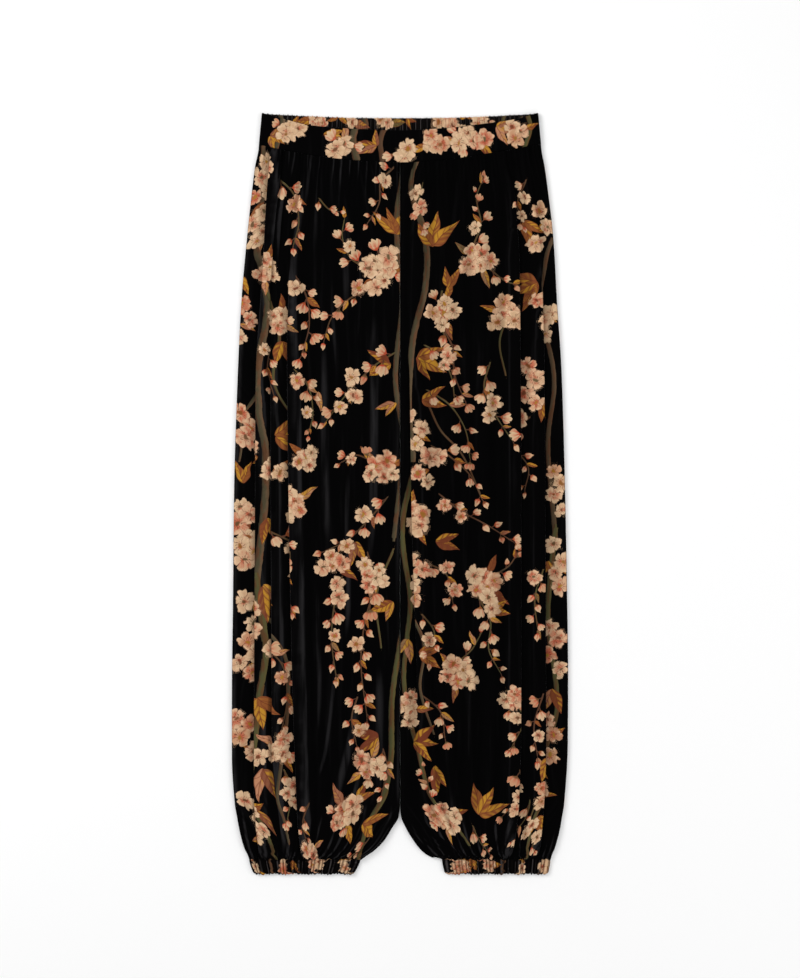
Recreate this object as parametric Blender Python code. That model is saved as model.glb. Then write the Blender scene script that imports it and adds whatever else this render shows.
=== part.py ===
"""Balloon trousers of printed velvet, laid flat on a surface with the front up.

X runs to the viewer's right, Y up the trousers to the waist, and Z up from the surface. Sizes here are
millimetres, and MM turns them into metres. A place across a leg is its distance from the middle line,
so that the same functions build the left leg (side -1) and the right one (side 1). A piece of cloth is
worked out as its centre line at each level of y, then given its wall on both sides of that line.
"""

import math
from typing import NamedTuple

import bmesh
import bpy

MM = 0.001
UP = math.pi / 2
DOWN = -UP

# Cloth
VELVET = 1.3
BAND_CLOTH = 2.4
CUFF_CLOTH = 1.7
SEAM_GAP = 0.3
HALF_GAP = SEAM_GAP / 2

# Whole garment
TOP_Y = 490.0
HEM_Y = -490.0
BAND_FOOT_Y = 449.0
SEAM_Y = 448.0
CROTCH_TOP_Y = 146.0
CROTCH_FOOT_Y = 112.0
CUFF_TOP_Y = -469.0
WAIST_HALF_TOP = 177.5
WAIST_HALF_FOOT = 181.3

# Heights of the layers' centre lines above the surface, and how far along they change
BACK_LEVEL = VELVET / 2
REST_LEVEL = VELVET + SEAM_GAP + VELVET / 2 + 0.5
EDGE_LEVEL = 4.2
SIDE_SEAM_LEVEL = 2.4
WAIST_LEVEL = 4.6
WAIST_RISE_REACH = 118.0
ANKLE_LEVEL = 3.7
BLOUSE = 1.5
BLOUSE_Y = -440.0
BLOUSE_REACH = 60.0
DROOP_REACH = 22.0
EDGE_REACH = 16.0

# Knife folds: three layers, each one step above the last
LAYER_STEP = 1.9
FOLD_DEPTH = 7.0
TURNED_OVER = 0.3
LEAST_OVERLAP = 0.5
FOLD_RAMP = 17.0
CHORDS = 3
SHOULDER = 1.4
UNDER_MARGIN = 1.0


class Station(NamedTuple):
    """How far a leg's side and inner edges are from the middle line at one level."""

    y: float
    outer: float
    inner: float


class Band(NamedTuple):
    """The front waistband's upper edge and lower seam at one place across the waist."""

    x: float
    top: float
    seam: float


class Crease(NamedTuple):
    """Where a fold or ridge runs at one level, and how strong it is there (ridges: its height)."""

    y: float
    place: float
    strength: float


class Fold(NamedTuple):
    """A knife fold. Its edge faces the side seam (1) or the middle line (-1)."""

    facing: int
    plain_columns: int
    path: tuple


class Leg(NamedTuple):
    """One leg's tables. The plain columns are those between the last fold and the inner edge."""

    name: str
    side: int
    stations: tuple
    folds: tuple
    ridges: tuple
    plain_columns: int


LEFT_STATIONS = (
    Station(449.0, 181.3, 0.0),
    Station(419.0, 186.5, 0.0),
    Station(388.0, 190.3, 0.0),
    Station(327.0, 196.8, 0.0),
    Station(250.0, 203.6, 0.0),
    Station(157.0, 208.3, 0.0),
    Station(3.0, 213.2, 0.0),
    Station(-136.0, 214.6, 0.0),
    Station(-265.0, 216.0, 0.0),
    Station(-337.0, 216.0, 0.0),
    Station(-399.0, 212.2, 0.0),
    Station(-414.0, 209.6, 1.4),
    Station(-429.5, 206.8, 10.3),
    Station(-445.0, 203.2, 20.6),
    Station(-456.0, 200.2, 32.0),
    Station(-464.0, 197.0, 46.0),
    Station(-469.0, 193.6, 57.0),
)

RIGHT_STATIONS = (
    Station(449.0, 181.3, 0.0),
    Station(419.0, 186.0, 0.0),
    Station(388.0, 190.3, 0.0),
    Station(327.0, 197.2, 0.0),
    Station(250.0, 201.6, 0.0),
    Station(157.0, 207.6, 0.0),
    Station(3.0, 212.2, 0.0),
    Station(-136.0, 214.8, 0.0),
    Station(-230.0, 216.0, 0.0),
    Station(-320.0, 215.6, 0.0),
    Station(-399.0, 210.9, 0.0),
    Station(-414.0, 208.4, 1.2),
    Station(-429.5, 205.8, 7.7),
    Station(-445.0, 200.8, 18.0),
    Station(-456.0, 196.4, 28.0),
    Station(-464.0, 193.8, 42.0),
    Station(-469.0, 192.4, 56.0),
)

BAND_PROFILE = (
    Band(-181.0, 489.0, 447.8),
    Band(-158.0, 484.0, 443.2),
    Band(-116.0, 473.5, 435.2),
    Band(-60.0, 469.0, 428.6),
    Band(0.0, 467.0, 425.7),
    Band(60.0, 470.0, 429.3),
    Band(105.0, 475.0, 436.0),
    Band(150.0, 481.5, 443.4),
    Band(181.0, 489.0, 448.4),
)

# Levels of the rows. They are named for the side seam, where the dip of the waist leaves them alone.
FRONT_LEVELS = (
    SEAM_Y, 441.0, 428.0, 408.0, 380.0, 345.0, 300.0, 245.0, 190.0, 146.0, 112.0, 50.0, -30.0, -110.0,
    -190.0, -265.0, -330.0, -380.0, -405.0, -414.0, -424.0, -435.0, -449.0, -459.0, -465.0, -468.7,
)
BACK_LEVELS = (
    448.7, 436.0, 400.0, 327.0, 250.0, 146.0, 112.0, 3.0, -136.0, -265.0, -330.0, -380.0, -405.0,
    -414.0, -424.0, -435.0, -449.0, -459.0, -465.0, -468.7,
)

# A fold that comes or goes passes a row where its strength is about 0.3: turned right over, without overlap
LEFT_FOLDS = (
    Fold(1, 2, (
        Crease(448.0, 164.0, 0.06), Crease(441.0, 165.0, 0.14), Crease(428.0, 167.0, 0.3),
        Crease(380.0, 171.0, 0.95), Crease(345.0, 173.0, 0.9), Crease(300.0, 175.0, 0.3),
        Crease(245.0, 178.0, 0.13), Crease(190.0, 182.0, 0.13), Crease(146.0, 184.5, 0.3),
        Crease(112.0, 185.0, 0.8), Crease(0.0, 185.5, 1.0), Crease(-380.0, 187.0, 1.0),
        Crease(-449.0, 182.0, 0.3), Crease(-459.0, 180.0, 0.15), Crease(-469.0, 177.0, 0.07),
    )),
    Fold(1, 1, (
        Crease(448.0, 146.0, 0.06), Crease(345.0, 156.0, 0.03), Crease(190.0, 164.0, 0.04),
        Crease(146.0, 165.0, 0.13), Crease(112.0, 165.5, 0.3), Crease(50.0, 165.5, 0.85),
        Crease(-190.0, 164.5, 0.9), Crease(-265.0, 164.0, 0.3), Crease(-330.0, 163.0, 0.13),
        Crease(-469.0, 150.0, 0.07),
    )),
    Fold(1, 1, (
        Crease(448.0, 122.0, 0.06), Crease(300.0, 140.0, 0.05), Crease(245.0, 143.0, 0.3),
        Crease(190.0, 144.5, 0.6), Crease(112.0, 144.0, 1.0), Crease(-190.0, 139.0, 1.0),
        Crease(-400.0, 132.0, 0.8), Crease(-449.0, 128.0, 0.3), Crease(-459.0, 126.0, 0.15),
        Crease(-469.0, 124.0, 0.07),
    )),
)

RIGHT_FOLDS = (
    Fold(1, 2, (
        Crease(448.0, 164.0, 0.06), Crease(300.0, 180.0, 0.05), Crease(245.0, 183.0, 0.3),
        Crease(190.0, 184.5, 0.6), Crease(50.0, 185.5, 1.0), Crease(-330.0, 187.0, 1.0),
        Crease(-449.0, 180.0, 0.3), Crease(-459.0, 177.0, 0.15), Crease(-469.0, 172.0, 0.07),
    )),
    Fold(1, 2, (
        Crease(448.0, 134.0, 0.06), Crease(380.0, 147.0, 0.14), Crease(345.0, 150.0, 0.3),
        Crease(300.0, 153.0, 0.8), Crease(0.0, 155.0, 1.0), Crease(-300.0, 155.0, 1.0),
        Crease(-400.0, 152.0, 0.8), Crease(-449.0, 146.0, 0.3), Crease(-459.0, 143.0, 0.15),
        Crease(-469.0, 140.0, 0.07),
    )),
    Fold(-1, 15, (
        Crease(448.0, 22.0, 0.06), Crease(345.0, 16.0, 0.05), Crease(190.0, 13.0, 0.05),
        Crease(146.0, 13.0, 0.3), Crease(112.0, 13.5, 0.75), Crease(-30.0, 15.5, 0.85),
        Crease(-110.0, 18.0, 0.75), Crease(-190.0, 21.0, 0.3), Crease(-265.0, 24.0, 0.13),
        Crease(-330.0, 26.0, 0.03), Crease(-414.0, 27.0, 0.02), Crease(-469.0, 74.0, 0.02),
    )),
)

LEFT_RIDGES = (
    (
        Crease(447.0, 74.0, 0.6), Crease(380.0, 70.0, 1.7),
        Crease(290.0, 69.0, 1.8), Crease(190.0, 70.0, 0.0),
    ),
    (
        Crease(447.0, 105.0, 0.5), Crease(360.0, 108.0, 1.2),
        Crease(260.0, 112.0, 0.0),
    ),
    (
        Crease(230.0, 98.0, 0.0), Crease(150.0, 97.0, 2.0),
        Crease(0.0, 96.0, 2.4), Crease(-95.0, 92.0, 0.0),
    ),
    (
        Crease(270.0, 33.0, 0.0), Crease(180.0, 33.0, 2.2),
        Crease(0.0, 34.0, 2.4), Crease(-150.0, 45.0, 0.0),
    ),
    (
        Crease(-240.0, 52.0, 0.0), Crease(-300.0, 60.0, 2.2),
        Crease(-380.0, 80.0, 2.4), Crease(-445.0, 98.0, 0.3),
    ),
    (
        Crease(-190.0, 26.0, 0.0), Crease(-260.0, 26.0, 2.0),
        Crease(-370.0, 28.0, 1.9), Crease(-430.0, 48.0, 0.2),
    ),
)

RIGHT_RIDGES = (
    (
        Crease(447.0, 52.0, 0.6), Crease(370.0, 52.0, 1.4),
        Crease(260.0, 48.0, 0.0),
    ),
    (
        Crease(430.0, 98.0, 0.0), Crease(330.0, 100.0, 1.4),
        Crease(60.0, 106.0, 1.8), Crease(-140.0, 110.0, 0.0),
    ),
    (
        Crease(250.0, 58.0, 0.0), Crease(150.0, 62.0, 1.5),
        Crease(10.0, 60.0, 1.4), Crease(-60.0, 56.0, 0.0),
    ),
    (
        Crease(-80.0, 46.0, 0.0), Crease(-160.0, 47.0, 2.1),
        Crease(-240.0, 50.0, 1.6), Crease(-290.0, 52.0, 0.0),
    ),
    (
        Crease(-280.0, 60.0, 0.0), Crease(-340.0, 61.0, 2.2),
        Crease(-400.0, 66.0, 2.0), Crease(-445.0, 80.0, 0.3),
    ),
    (
        Crease(-120.0, 118.0, 0.0), Crease(-260.0, 116.0, 1.7),
        Crease(-380.0, 112.0, 1.9), Crease(-445.0, 110.0, 0.3),
    ),
)
RIDGE_HALF_WIDTH = 15.0

LEFT_LEG = Leg("left", -1, LEFT_STATIONS, LEFT_FOLDS, LEFT_RIDGES, 17)
RIGHT_LEG = Leg("right", 1, RIGHT_STATIONS, RIGHT_FOLDS, RIGHT_RIDGES, 1)

# Gathers stand on every other column, uneven in height
GATHER_PATTERN = (1.0, 0.6, 0.9, 0.45, 0.75)
WAIST_GATHER = 2.0
WAIST_GATHER_REACH = 130.0
ANKLE_GATHER = 2.7
ANKLE_GATHER_REACH = 75.0
BACK_GATHER = 0.8
BACK_GATHER_REACH = 16.0
BACK_COLUMNS = 15

# Waistband, its rows from the seam (0) to the upper edge (1)
BAND_SEAM_LEVEL = 2.9
BAND_FRONT_LEVEL = 4.95
BAND_BACK_LEVEL = BAND_CLOTH / 2
BAND_COLUMNS = 33
BAND_ROWS = (0.0, 0.12, 0.5, 0.88, 1.0)
BAND_EDGE_DROP = 0.35
DIP_REACH = 258.0
RUCHES = 56
RUCHE_HEIGHT = 0.8
RUCHE_SCALLOP = 0.9

# Cuffs, their rows from the ankle seam (0) to the hem (1), and how plump they are at each
CUFF_INNER = 57.9
CUFF_OUTER = {"left": 192.9, "right": 191.6}
CUFF_CAVITY = 0.6
CUFF_ROWS = (0.0, 0.25, 0.75, 1.0)
CUFF_PLUMP = (0.25, 1.0, 1.0, 0.15)
CUFF_GATHERS = 19
CUFF_GATHER_HEIGHT = 1.1
CUFF_SCALLOP = 1.5

VELVET_BLACK = (0.012, 0.011, 0.012, 1.0)
LINING_BLACK = (0.018, 0.016, 0.017, 1.0)


def clamp(value):
    """The value held between 0 and 1."""
    return max(0.0, min(1.0, value))


def soft_step(value):
    """A smooth rise from 0 to 1 as the value goes from 0 to 1."""
    held = clamp(value)
    return held * held * (3.0 - 2.0 * held)


def soft_slope(places, values, index):
    """The slope at one point of a table that never overshoots its points."""
    if index in (0, len(places) - 1):
        return 0.0
    before = (values[index] - values[index - 1]) / (places[index] - places[index - 1])
    after = (values[index + 1] - values[index]) / (places[index + 1] - places[index])
    if before * after <= 0.0:
        return 0.0
    return 2.0 * before * after / (before + after)


def through(places, values, at):
    """The value at one place of a smooth curve through a table whose places rise."""
    if at <= places[0]:
        return values[0]
    if at >= places[-1]:
        return values[-1]
    index = next(i for i in range(1, len(places)) if at <= places[i]) - 1
    width = places[index + 1] - places[index]
    part = (at - places[index]) / width
    start = soft_slope(places, values, index) * width
    end = soft_slope(places, values, index + 1) * width
    return (
        values[index] * (1 + 2 * part) * (1 - part) ** 2
        + start * part * (1 - part) ** 2
        + values[index + 1] * part * part * (3 - 2 * part)
        - end * part * part * (1 - part)
    )


def column(table, level, field):
    """One column of a table of rows, read at a level of y."""
    rising = table[::-1]
    return through([row.y for row in rising], [getattr(row, field) for row in rising], level)


def band_line(x, field):
    """The front waistband's upper edge or seam at a place across the waist."""
    return through([row.x for row in BAND_PROFILE], [getattr(row, field) for row in BAND_PROFILE], x)


def ridge_lift(leg, place, y):
    """How far the soft ridges raise the front of a leg."""
    lift = 0.0
    for path in leg.ridges:
        height = column(path, y, "strength")
        away = abs(place - column(path, y, "place")) / RIDGE_HALF_WIDTH
        if away < 1.0:
            lift = max(lift, height * (0.5 + 0.5 * math.cos(math.pi * away)))
    return lift


def front_level(leg, place, y):
    """The height of the front's centre line, away from its folds and gathers."""
    outer = column(leg.stations, y, "outer")
    inner = column(leg.stations, y, "inner")
    open_leg = soft_step((CROTCH_TOP_Y - y) / (CROTCH_TOP_Y - CROTCH_FOOT_Y))
    waist = soft_step(1.0 - (SEAM_Y - y) / WAIST_RISE_REACH)
    ankle = soft_step(1.0 - (y - BLOUSE_Y) / BLOUSE_REACH)
    droop = soft_step((y - CUFF_TOP_Y) / DROOP_REACH)
    rest = REST_LEVEL + (WAIST_LEVEL - REST_LEVEL) * waist
    rest += (ANKLE_LEVEL + BLOUSE * droop - rest) * ankle
    side = soft_step(1.0 - (outer - place) / EDGE_REACH)
    middle = open_leg * soft_step(1.0 - (place - inner) / EDGE_REACH)
    level = rest + ridge_lift(leg, place, y)
    seam_level = max(EDGE_LEVEL, rest)
    return level + (seam_level - level) * max(side, middle)


def fold_shape(fold, y):
    """A fold's points from the side seam inwards, as (place, height above the low layer)."""
    strength = column(fold.path, y, "strength")
    edge = column(fold.path, y, "place")
    turn = math.pi * clamp(strength / TURNED_OVER)
    overlap = FOLD_DEPTH * clamp((strength - TURNED_OVER) / (1.0 - TURNED_OVER))
    headings = [turn * (2 * i + 1) / (2 * CHORDS) for i in range(CHORDS)]
    steps = [(LAYER_STEP / 2, heading) for heading in headings]
    steps += [(max(overlap, LEAST_OVERLAP), turn)]
    steps += [(LAYER_STEP / 2, heading) for heading in headings[::-1]]
    run, rise = 0.0, 0.0
    points = [(run, rise)]
    for length, heading in steps:
        run += length * math.cos(heading)
        rise += length * math.sin(heading)
        points.append((run, rise))
    points.append((max(point[0] for point in points) + SHOULDER, rise))
    top_start = points[-2][0]
    shape = [(edge - LAYER_STEP / 2 + top_start - run, rise) for run, rise in points]
    if fold.facing < 0:
        shape = [(2 * edge - place, rise) for place, rise in shape][::-1]
    return shape


class PlacedFold:
    """A knife fold at one level of y: its points, and what it does to the cloth beside it."""

    def __init__(self, leg, fold, y):
        self.fold = fold
        self.shape = fold_shape(fold, y)
        self.edge = column(fold.path, y, "place")
        self.low = front_level(leg, self.edge, y)
        self.points = []

    def settle(self, others):
        """Stand on what the neighbouring folds have raised, and place the points."""
        self.low += max(other.lift(self.edge) for other in others)
        self.points = [(place, self.low + rise) for place, rise in self.shape]

    def lift(self, place):
        """How far the fold raises the cloth on its upper side, falling away from its edge."""
        shoulder, rise = self.shape[-1] if self.fold.facing > 0 else self.shape[0]
        past = (shoulder - place) * self.fold.facing
        if past < -UNDER_MARGIN:
            return 0.0
        return rise * (1.0 - soft_step(past / FOLD_RAMP))

    def covers(self, place):
        """True under the fold's upper layers, where the cloth stays low."""
        hidden = self.shape[0][0] if self.fold.facing > 0 else self.shape[-1][0]
        past_hidden = (place - hidden) * self.fold.facing
        past_edge = (place - self.edge) * self.fold.facing
        return past_hidden >= 0.0 and past_edge < 2 * UNDER_MARGIN


def between(start, end, count):
    """Evenly spaced places strictly between two ends."""
    return [start + (end - start) * (i + 1) / (count + 1) for i in range(count)]


def gather(index, y):
    """How far a plain column stands up in the gathers at the waist and the ankle."""
    if index % 2:
        return 0.0
    height = GATHER_PATTERN[index // 2 % len(GATHER_PATTERN)]
    waist = WAIST_GATHER * clamp(1.0 - (SEAM_Y - y) / WAIST_GATHER_REACH) ** 1.5
    ankle = ANKLE_GATHER * soft_step(1.0 - (y - CUFF_TOP_Y) / ANKLE_GATHER_REACH)
    return height * (waist + ankle)


def edge_arc(edge, seam, level, wall):
    """The centre line's quarter turn from a side seam up to a layer, from the seam inwards."""
    height = level - seam
    points = []
    for i in range(CHORDS + 1):
        angle = math.pi / 2 * i / CHORDS
        inwards = wall / 2 + abs(height) * (1 - math.cos(angle))
        points.append((edge - inwards, seam + height * math.sin(angle)))
    return points


def inner_arc(edge, seam, level, y):
    """The inner edge: flat to the middle line above the crotch, turned to the inside seam below it."""
    curved = [(-place, height) for place, height in edge_arc(-edge, seam, level, VELVET)[::-1]]
    if y < CROTCH_TOP_Y:
        return curved
    reach = curved[0][0] - edge
    return [(edge + reach * (CHORDS - i) / CHORDS, level) for i in range(CHORDS + 1)]


def front_row(leg, y):
    """The centre line of a leg's front at one level, from the side seam inwards."""
    outer = column(leg.stations, y, "outer")
    inner = column(leg.stations, y, "inner") + HALF_GAP
    seam = SIDE_SEAM_LEVEL + HALF_GAP
    row = edge_arc(outer, seam, front_level(leg, outer, y), VELVET)
    placed = [PlacedFold(leg, fold, y) for fold in leg.folds]
    for one in placed:
        one.settle([other for other in placed if other is not one])
    end = inner_arc(inner, seam, front_level(leg, inner, y), y)
    stops = [(one.fold.plain_columns, one.points) for one in placed] + [(leg.plain_columns, end)]
    index = 0
    for count, points in stops:
        for place in between(row[-1][0], points[0][0], count):
            under = [one for one in placed if one.covers(place)]
            if under:
                height = under[0].low
            else:
                lift = max(one.lift(place) for one in placed)
                height = front_level(leg, place, y) + lift + gather(index, y)
            row.append((place, height))
            index += 1
        row += points
    return row


def back_row(leg, y):
    """The centre line of a leg's back at one level, flat on the surface between its edges."""
    outer = column(leg.stations, y, "outer")
    inner = column(leg.stations, y, "inner") + HALF_GAP
    seam = SIDE_SEAM_LEVEL - HALF_GAP
    start = edge_arc(outer, seam, BACK_LEVEL, VELVET)
    end = inner_arc(inner, seam, BACK_LEVEL, y)
    near_waist = clamp(1.0 - (BAND_FOOT_Y - y) / BACK_GATHER_REACH)
    near_cuff = clamp(1.0 - (y - CUFF_TOP_Y) / BACK_GATHER_REACH)
    middle = []
    for index, place in enumerate(between(start[-1][0], end[0][0], BACK_COLUMNS)):
        size = GATHER_PATTERN[index % len(GATHER_PATTERN)] if index % 2 else 0.0
        middle.append((place, BACK_LEVEL + BACK_GATHER * (near_waist + near_cuff) * size))
    return start + middle + end


def both_sides(row, wall, start_heading, end_heading):
    """The two faces of a wall on a centre line: each point moved out along the line's normal.

    A heading is the line's angle above level as it runs inwards. The two ends have theirs given.
    """
    headings = [
        math.atan2(second[1] - first[1], first[0] - second[0]) for first, second in zip(row, row[1:])
    ]
    befores = [start_heading] + headings[:-1] + [end_heading]
    afters = [start_heading] + headings[1:] + [end_heading]
    upper, lower = [], []
    for (place, height), before, after in zip(row, befores, afters):
        bend = math.atan2(math.sin(after - before), math.cos(after - before))
        heading = before + bend / 2
        reach = wall / 2 / math.cos(bend / 2)
        upper.append((place + reach * math.sin(heading), height + reach * math.cos(heading)))
        lower.append((place - reach * math.sin(heading), height - reach * math.cos(heading)))
    return upper, lower


def cloth_colour(name, colour):
    """A soft, dull cloth material."""
    material = bpy.data.materials.new(name)
    material.use_nodes = True
    shader = material.node_tree.nodes["Principled BSDF"]
    shader.inputs["Base Color"].default_value = colour
    shader.inputs["Roughness"].default_value = 0.85
    shader.inputs["Metallic"].default_value = 0.0
    return material


def add_object(name, mesh_maker, colour):
    """One sub-part from a closed bmesh, with its own material, faces outwards and shaded smooth."""
    bmesh.ops.recalc_face_normals(mesh_maker, faces=mesh_maker.faces)
    mesh = bpy.data.meshes.new(name)
    mesh_maker.to_mesh(mesh)
    mesh_maker.free()
    mesh.shade_smooth()
    mesh.set_sharp_from_angle(angle=math.radians(50))
    mesh.materials.append(cloth_colour(name + "_cloth", colour))
    thing = bpy.data.objects.new(name, mesh)
    bpy.context.scene.collection.objects.link(thing)
    return thing


def skin(maker, first, second):
    """Quads between two rows of vertices of the same length."""
    for i in range(len(first) - 1):
        maker.faces.new((first[i], first[i + 1], second[i + 1], second[i]))


def add_wall(name, upper_rows, lower_rows, colour):
    """A closed wall between two grids of points, rows of (x, y, z) in millimetres."""
    maker = bmesh.new()
    grids = []
    for rows in (upper_rows, lower_rows):
        grids.append([[maker.verts.new([size * MM for size in point]) for point in row] for row in rows])
    upper, lower = grids
    for grid in grids:
        for first, second in zip(grid, grid[1:]):
            skin(maker, first, second)
    for edge in (0, -1):
        skin(maker, upper[edge], lower[edge])
        skin(maker, [row[edge] for row in upper], [row[edge] for row in lower])
    return add_object(name, maker, colour)


def add_tube(name, outer_rows, inner_rows, colour):
    """A closed tube wall between two grids of closed rows of (x, y, z) in millimetres."""
    maker = bmesh.new()
    grids = []
    for rows in (outer_rows, inner_rows):
        grid = [[maker.verts.new([size * MM for size in point]) for point in row] for row in rows]
        grids.append([row + row[:1] for row in grid])
    for grid in grids:
        for first, second in zip(grid, grid[1:]):
            skin(maker, first, second)
    for edge in (0, -1):
        skin(maker, grids[0][edge], grids[1][edge])
    return add_object(name, maker, colour)


def add_front_panel(leg):
    """A leg's front: the waist seam dips with the band, and the rows below follow it less and less."""
    upper_rows, lower_rows = [], []
    for level in FRONT_LEVELS:
        faces = both_sides(front_row(leg, level), VELVET, UP, DOWN if level < CROTCH_TOP_Y else 0.0)
        for rows, face in zip((upper_rows, lower_rows), faces):
            points = []
            for place, height in face:
                x = leg.side * place
                dip = (band_line(x, "seam") - SEAM_Y) * clamp(1.0 - (SEAM_Y - level) / DIP_REACH)
                y = level + dip - (SEAM_GAP if level == FRONT_LEVELS[0] else 0.0)
                points.append((x, y, height))
            rows.append(points)
    return add_wall("leg_front_" + leg.name, upper_rows, lower_rows, VELVET_BLACK)


def add_back_panel(leg):
    """A leg's back, which lies on the surface."""
    upper_rows, lower_rows = [], []
    for level in BACK_LEVELS:
        faces = both_sides(back_row(leg, level), VELVET, DOWN, UP if level < CROTCH_TOP_Y else 0.0)
        for rows, face in zip((upper_rows, lower_rows), faces):
            rows.append([(leg.side * place, level, max(height, 0.0)) for place, height in face])
    return add_wall("leg_back_" + leg.name, upper_rows, lower_rows, VELVET_BLACK)


def waist_half(y):
    """Half the waistband's width at a level."""
    part = (y - BAND_FOOT_Y) / (TOP_Y - BAND_FOOT_Y)
    return WAIST_HALF_FOOT + (WAIST_HALF_TOP - WAIST_HALF_FOOT) * clamp(part)


def band_row(half, seam, level, columns):
    """The centre line of a waistband from the right side seam to the left one."""
    right = edge_arc(half, seam, level, BAND_CLOTH)
    left = [(-place, height) for place, height in right[::-1]]
    middle = [(place, level) for place in between(right[-1][0], left[0][0], columns)]
    return right + middle + left


def add_front_band():
    """The smooth front waistband. Its long edges are a little thinner than its middle."""
    upper_rows, lower_rows = [], []
    for part in BAND_ROWS:
        y_side = BAND_FOOT_Y + (TOP_Y - 1.0 - BAND_FOOT_Y) * part
        row = band_row(waist_half(y_side), BAND_SEAM_LEVEL + HALF_GAP, BAND_FRONT_LEVEL, BAND_COLUMNS)
        drop = BAND_EDGE_DROP if part in (0.0, 1.0) else 0.0
        faces = both_sides(row, BAND_CLOTH, UP, DOWN)
        for rows, face, sunk in zip((upper_rows, lower_rows), faces, (drop, 0.0)):
            points = []
            for x, height in face:
                seam = band_line(x, "seam")
                y = seam + (band_line(x, "top") - seam) * part
                points.append((x, y, height - sunk))
            rows.append(points)
    return add_wall("waistband_front", upper_rows, lower_rows, VELVET_BLACK)


def add_back_band():
    """The elasticated back waistband: a flat underside and ruches standing on the face that shows."""
    upper_rows, lower_rows = [], []
    columns = 2 * RUCHES - 1
    for part in BAND_ROWS:
        y_side = BAND_FOOT_Y + (TOP_Y - BAND_FOOT_Y) * part
        row = band_row(waist_half(y_side), BAND_SEAM_LEVEL - HALF_GAP, BAND_BACK_LEVEL, columns)
        upper, lower = both_sides(row, BAND_CLOTH, DOWN, UP)
        edge = part in (0.0, 1.0)
        upper_points, lower_points = [], []
        for i, (x, height) in enumerate(upper):
            ruched = CHORDS < i < len(upper) - CHORDS - 1 and i % 2
            size = GATHER_PATTERN[i // 2 % len(GATHER_PATTERN)] if ruched else 0.0
            lift = RUCHE_HEIGHT * size * (0.4 if edge else 1.0)
            y = y_side - (0.0 if ruched else RUCHE_SCALLOP) * (part == 1.0)
            upper_points.append((x, y, height + lift))
            lower_points.append((lower[i][0], y, lower[i][1]))
        upper_rows.append(upper_points)
        lower_rows.append(lower_points)
    return add_wall("waistband_back", upper_rows, lower_rows, LINING_BLACK)


def cuff_ring(leg, plump, scallop):
    """The cuff's outer and inner outline at one level: flat below, gathered above, round at the ends."""
    lower = CUFF_CLOTH + CUFF_CAVITY / 2
    end_radius = lower
    start = CUFF_OUTER[leg.name] - end_radius
    stop = CUFF_INNER + end_radius
    columns = between(start, stop, 2 * CUFF_GATHERS - 1)
    outer, inner, drops = [], [], []

    def add_end(centre, first_angle):
        for i in range(CHORDS + 1):
            angle = math.radians(first_angle + 180.0 * i / CHORDS)
            outer.append((centre + end_radius * math.cos(angle), lower + end_radius * math.sin(angle)))
            slim = CUFF_CAVITY / 2
            inner.append((centre + slim * math.cos(angle), lower + slim * math.sin(angle)))
            drops.append(0.0)

    add_end(start, -90.0)
    for i, place in enumerate(columns):
        size = 0.0 if i % 2 else GATHER_PATTERN[i // 2 % len(GATHER_PATTERN)]
        outer.append((place, lower + end_radius + CUFF_GATHER_HEIGHT * size * plump))
        inner.append((place, lower + CUFF_CAVITY / 2))
        drops.append(0.0 if i % 2 else scallop)
    add_end(stop, 90.0)
    for i, place in enumerate(columns[::-1]):
        outer.append((place, 0.0))
        inner.append((place, lower - CUFF_CAVITY / 2))
        drops.append(0.0 if i % 2 else scallop)
    return outer, inner, drops


def add_cuff(leg):
    """A cuff: one gathered tube, pressed flat, with a softly scalloped hem."""
    outer_rows, inner_rows = [], []
    for part, plump in zip(CUFF_ROWS, CUFF_PLUMP):
        hem = part == CUFF_ROWS[-1]
        base = CUFF_TOP_Y + (HEM_Y + CUFF_SCALLOP - CUFF_TOP_Y) * part
        outer, inner, drops = cuff_ring(leg, plump, CUFF_SCALLOP if hem else 0.0)
        outer_rows.append([(leg.side * x, base - drop, z) for (x, z), drop in zip(outer, drops)])
        inner_rows.append([(leg.side * x, base - drop, z) for (x, z), drop in zip(inner, drops)])
    return add_tube("cuff_" + leg.name, outer_rows, inner_rows, VELVET_BLACK)


def main():
    """Clear the scene and build every sub-part."""
    for thing in list(bpy.data.objects):
        bpy.data.objects.remove(thing)
    add_front_band()
    add_back_band()
    for leg in (LEFT_LEG, RIGHT_LEG):
        add_front_panel(leg)
        add_back_panel(leg)
        add_cuff(leg)


main()
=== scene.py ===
"""The finished cloth of a pair of balloon trousers in printed velvet, laid flat with the front up.

Sizes are millimetres in the garment's own frame: x to the viewer's right, y up to the waist, z up from the
surface. A place across a leg is its distance from the middle line, so one set of functions makes the left
leg (side -1) and the right one (side 1). Each piece of cloth is worked out as its centre line, row by row,
given its wall on both sides, and printed in cloth coordinates, so folds and seams cut the print.
"""

from __future__ import annotations

import logging
import math
import random
from dataclasses import dataclass
from enum import Enum
from typing import Callable, Iterable, Sequence

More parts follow.
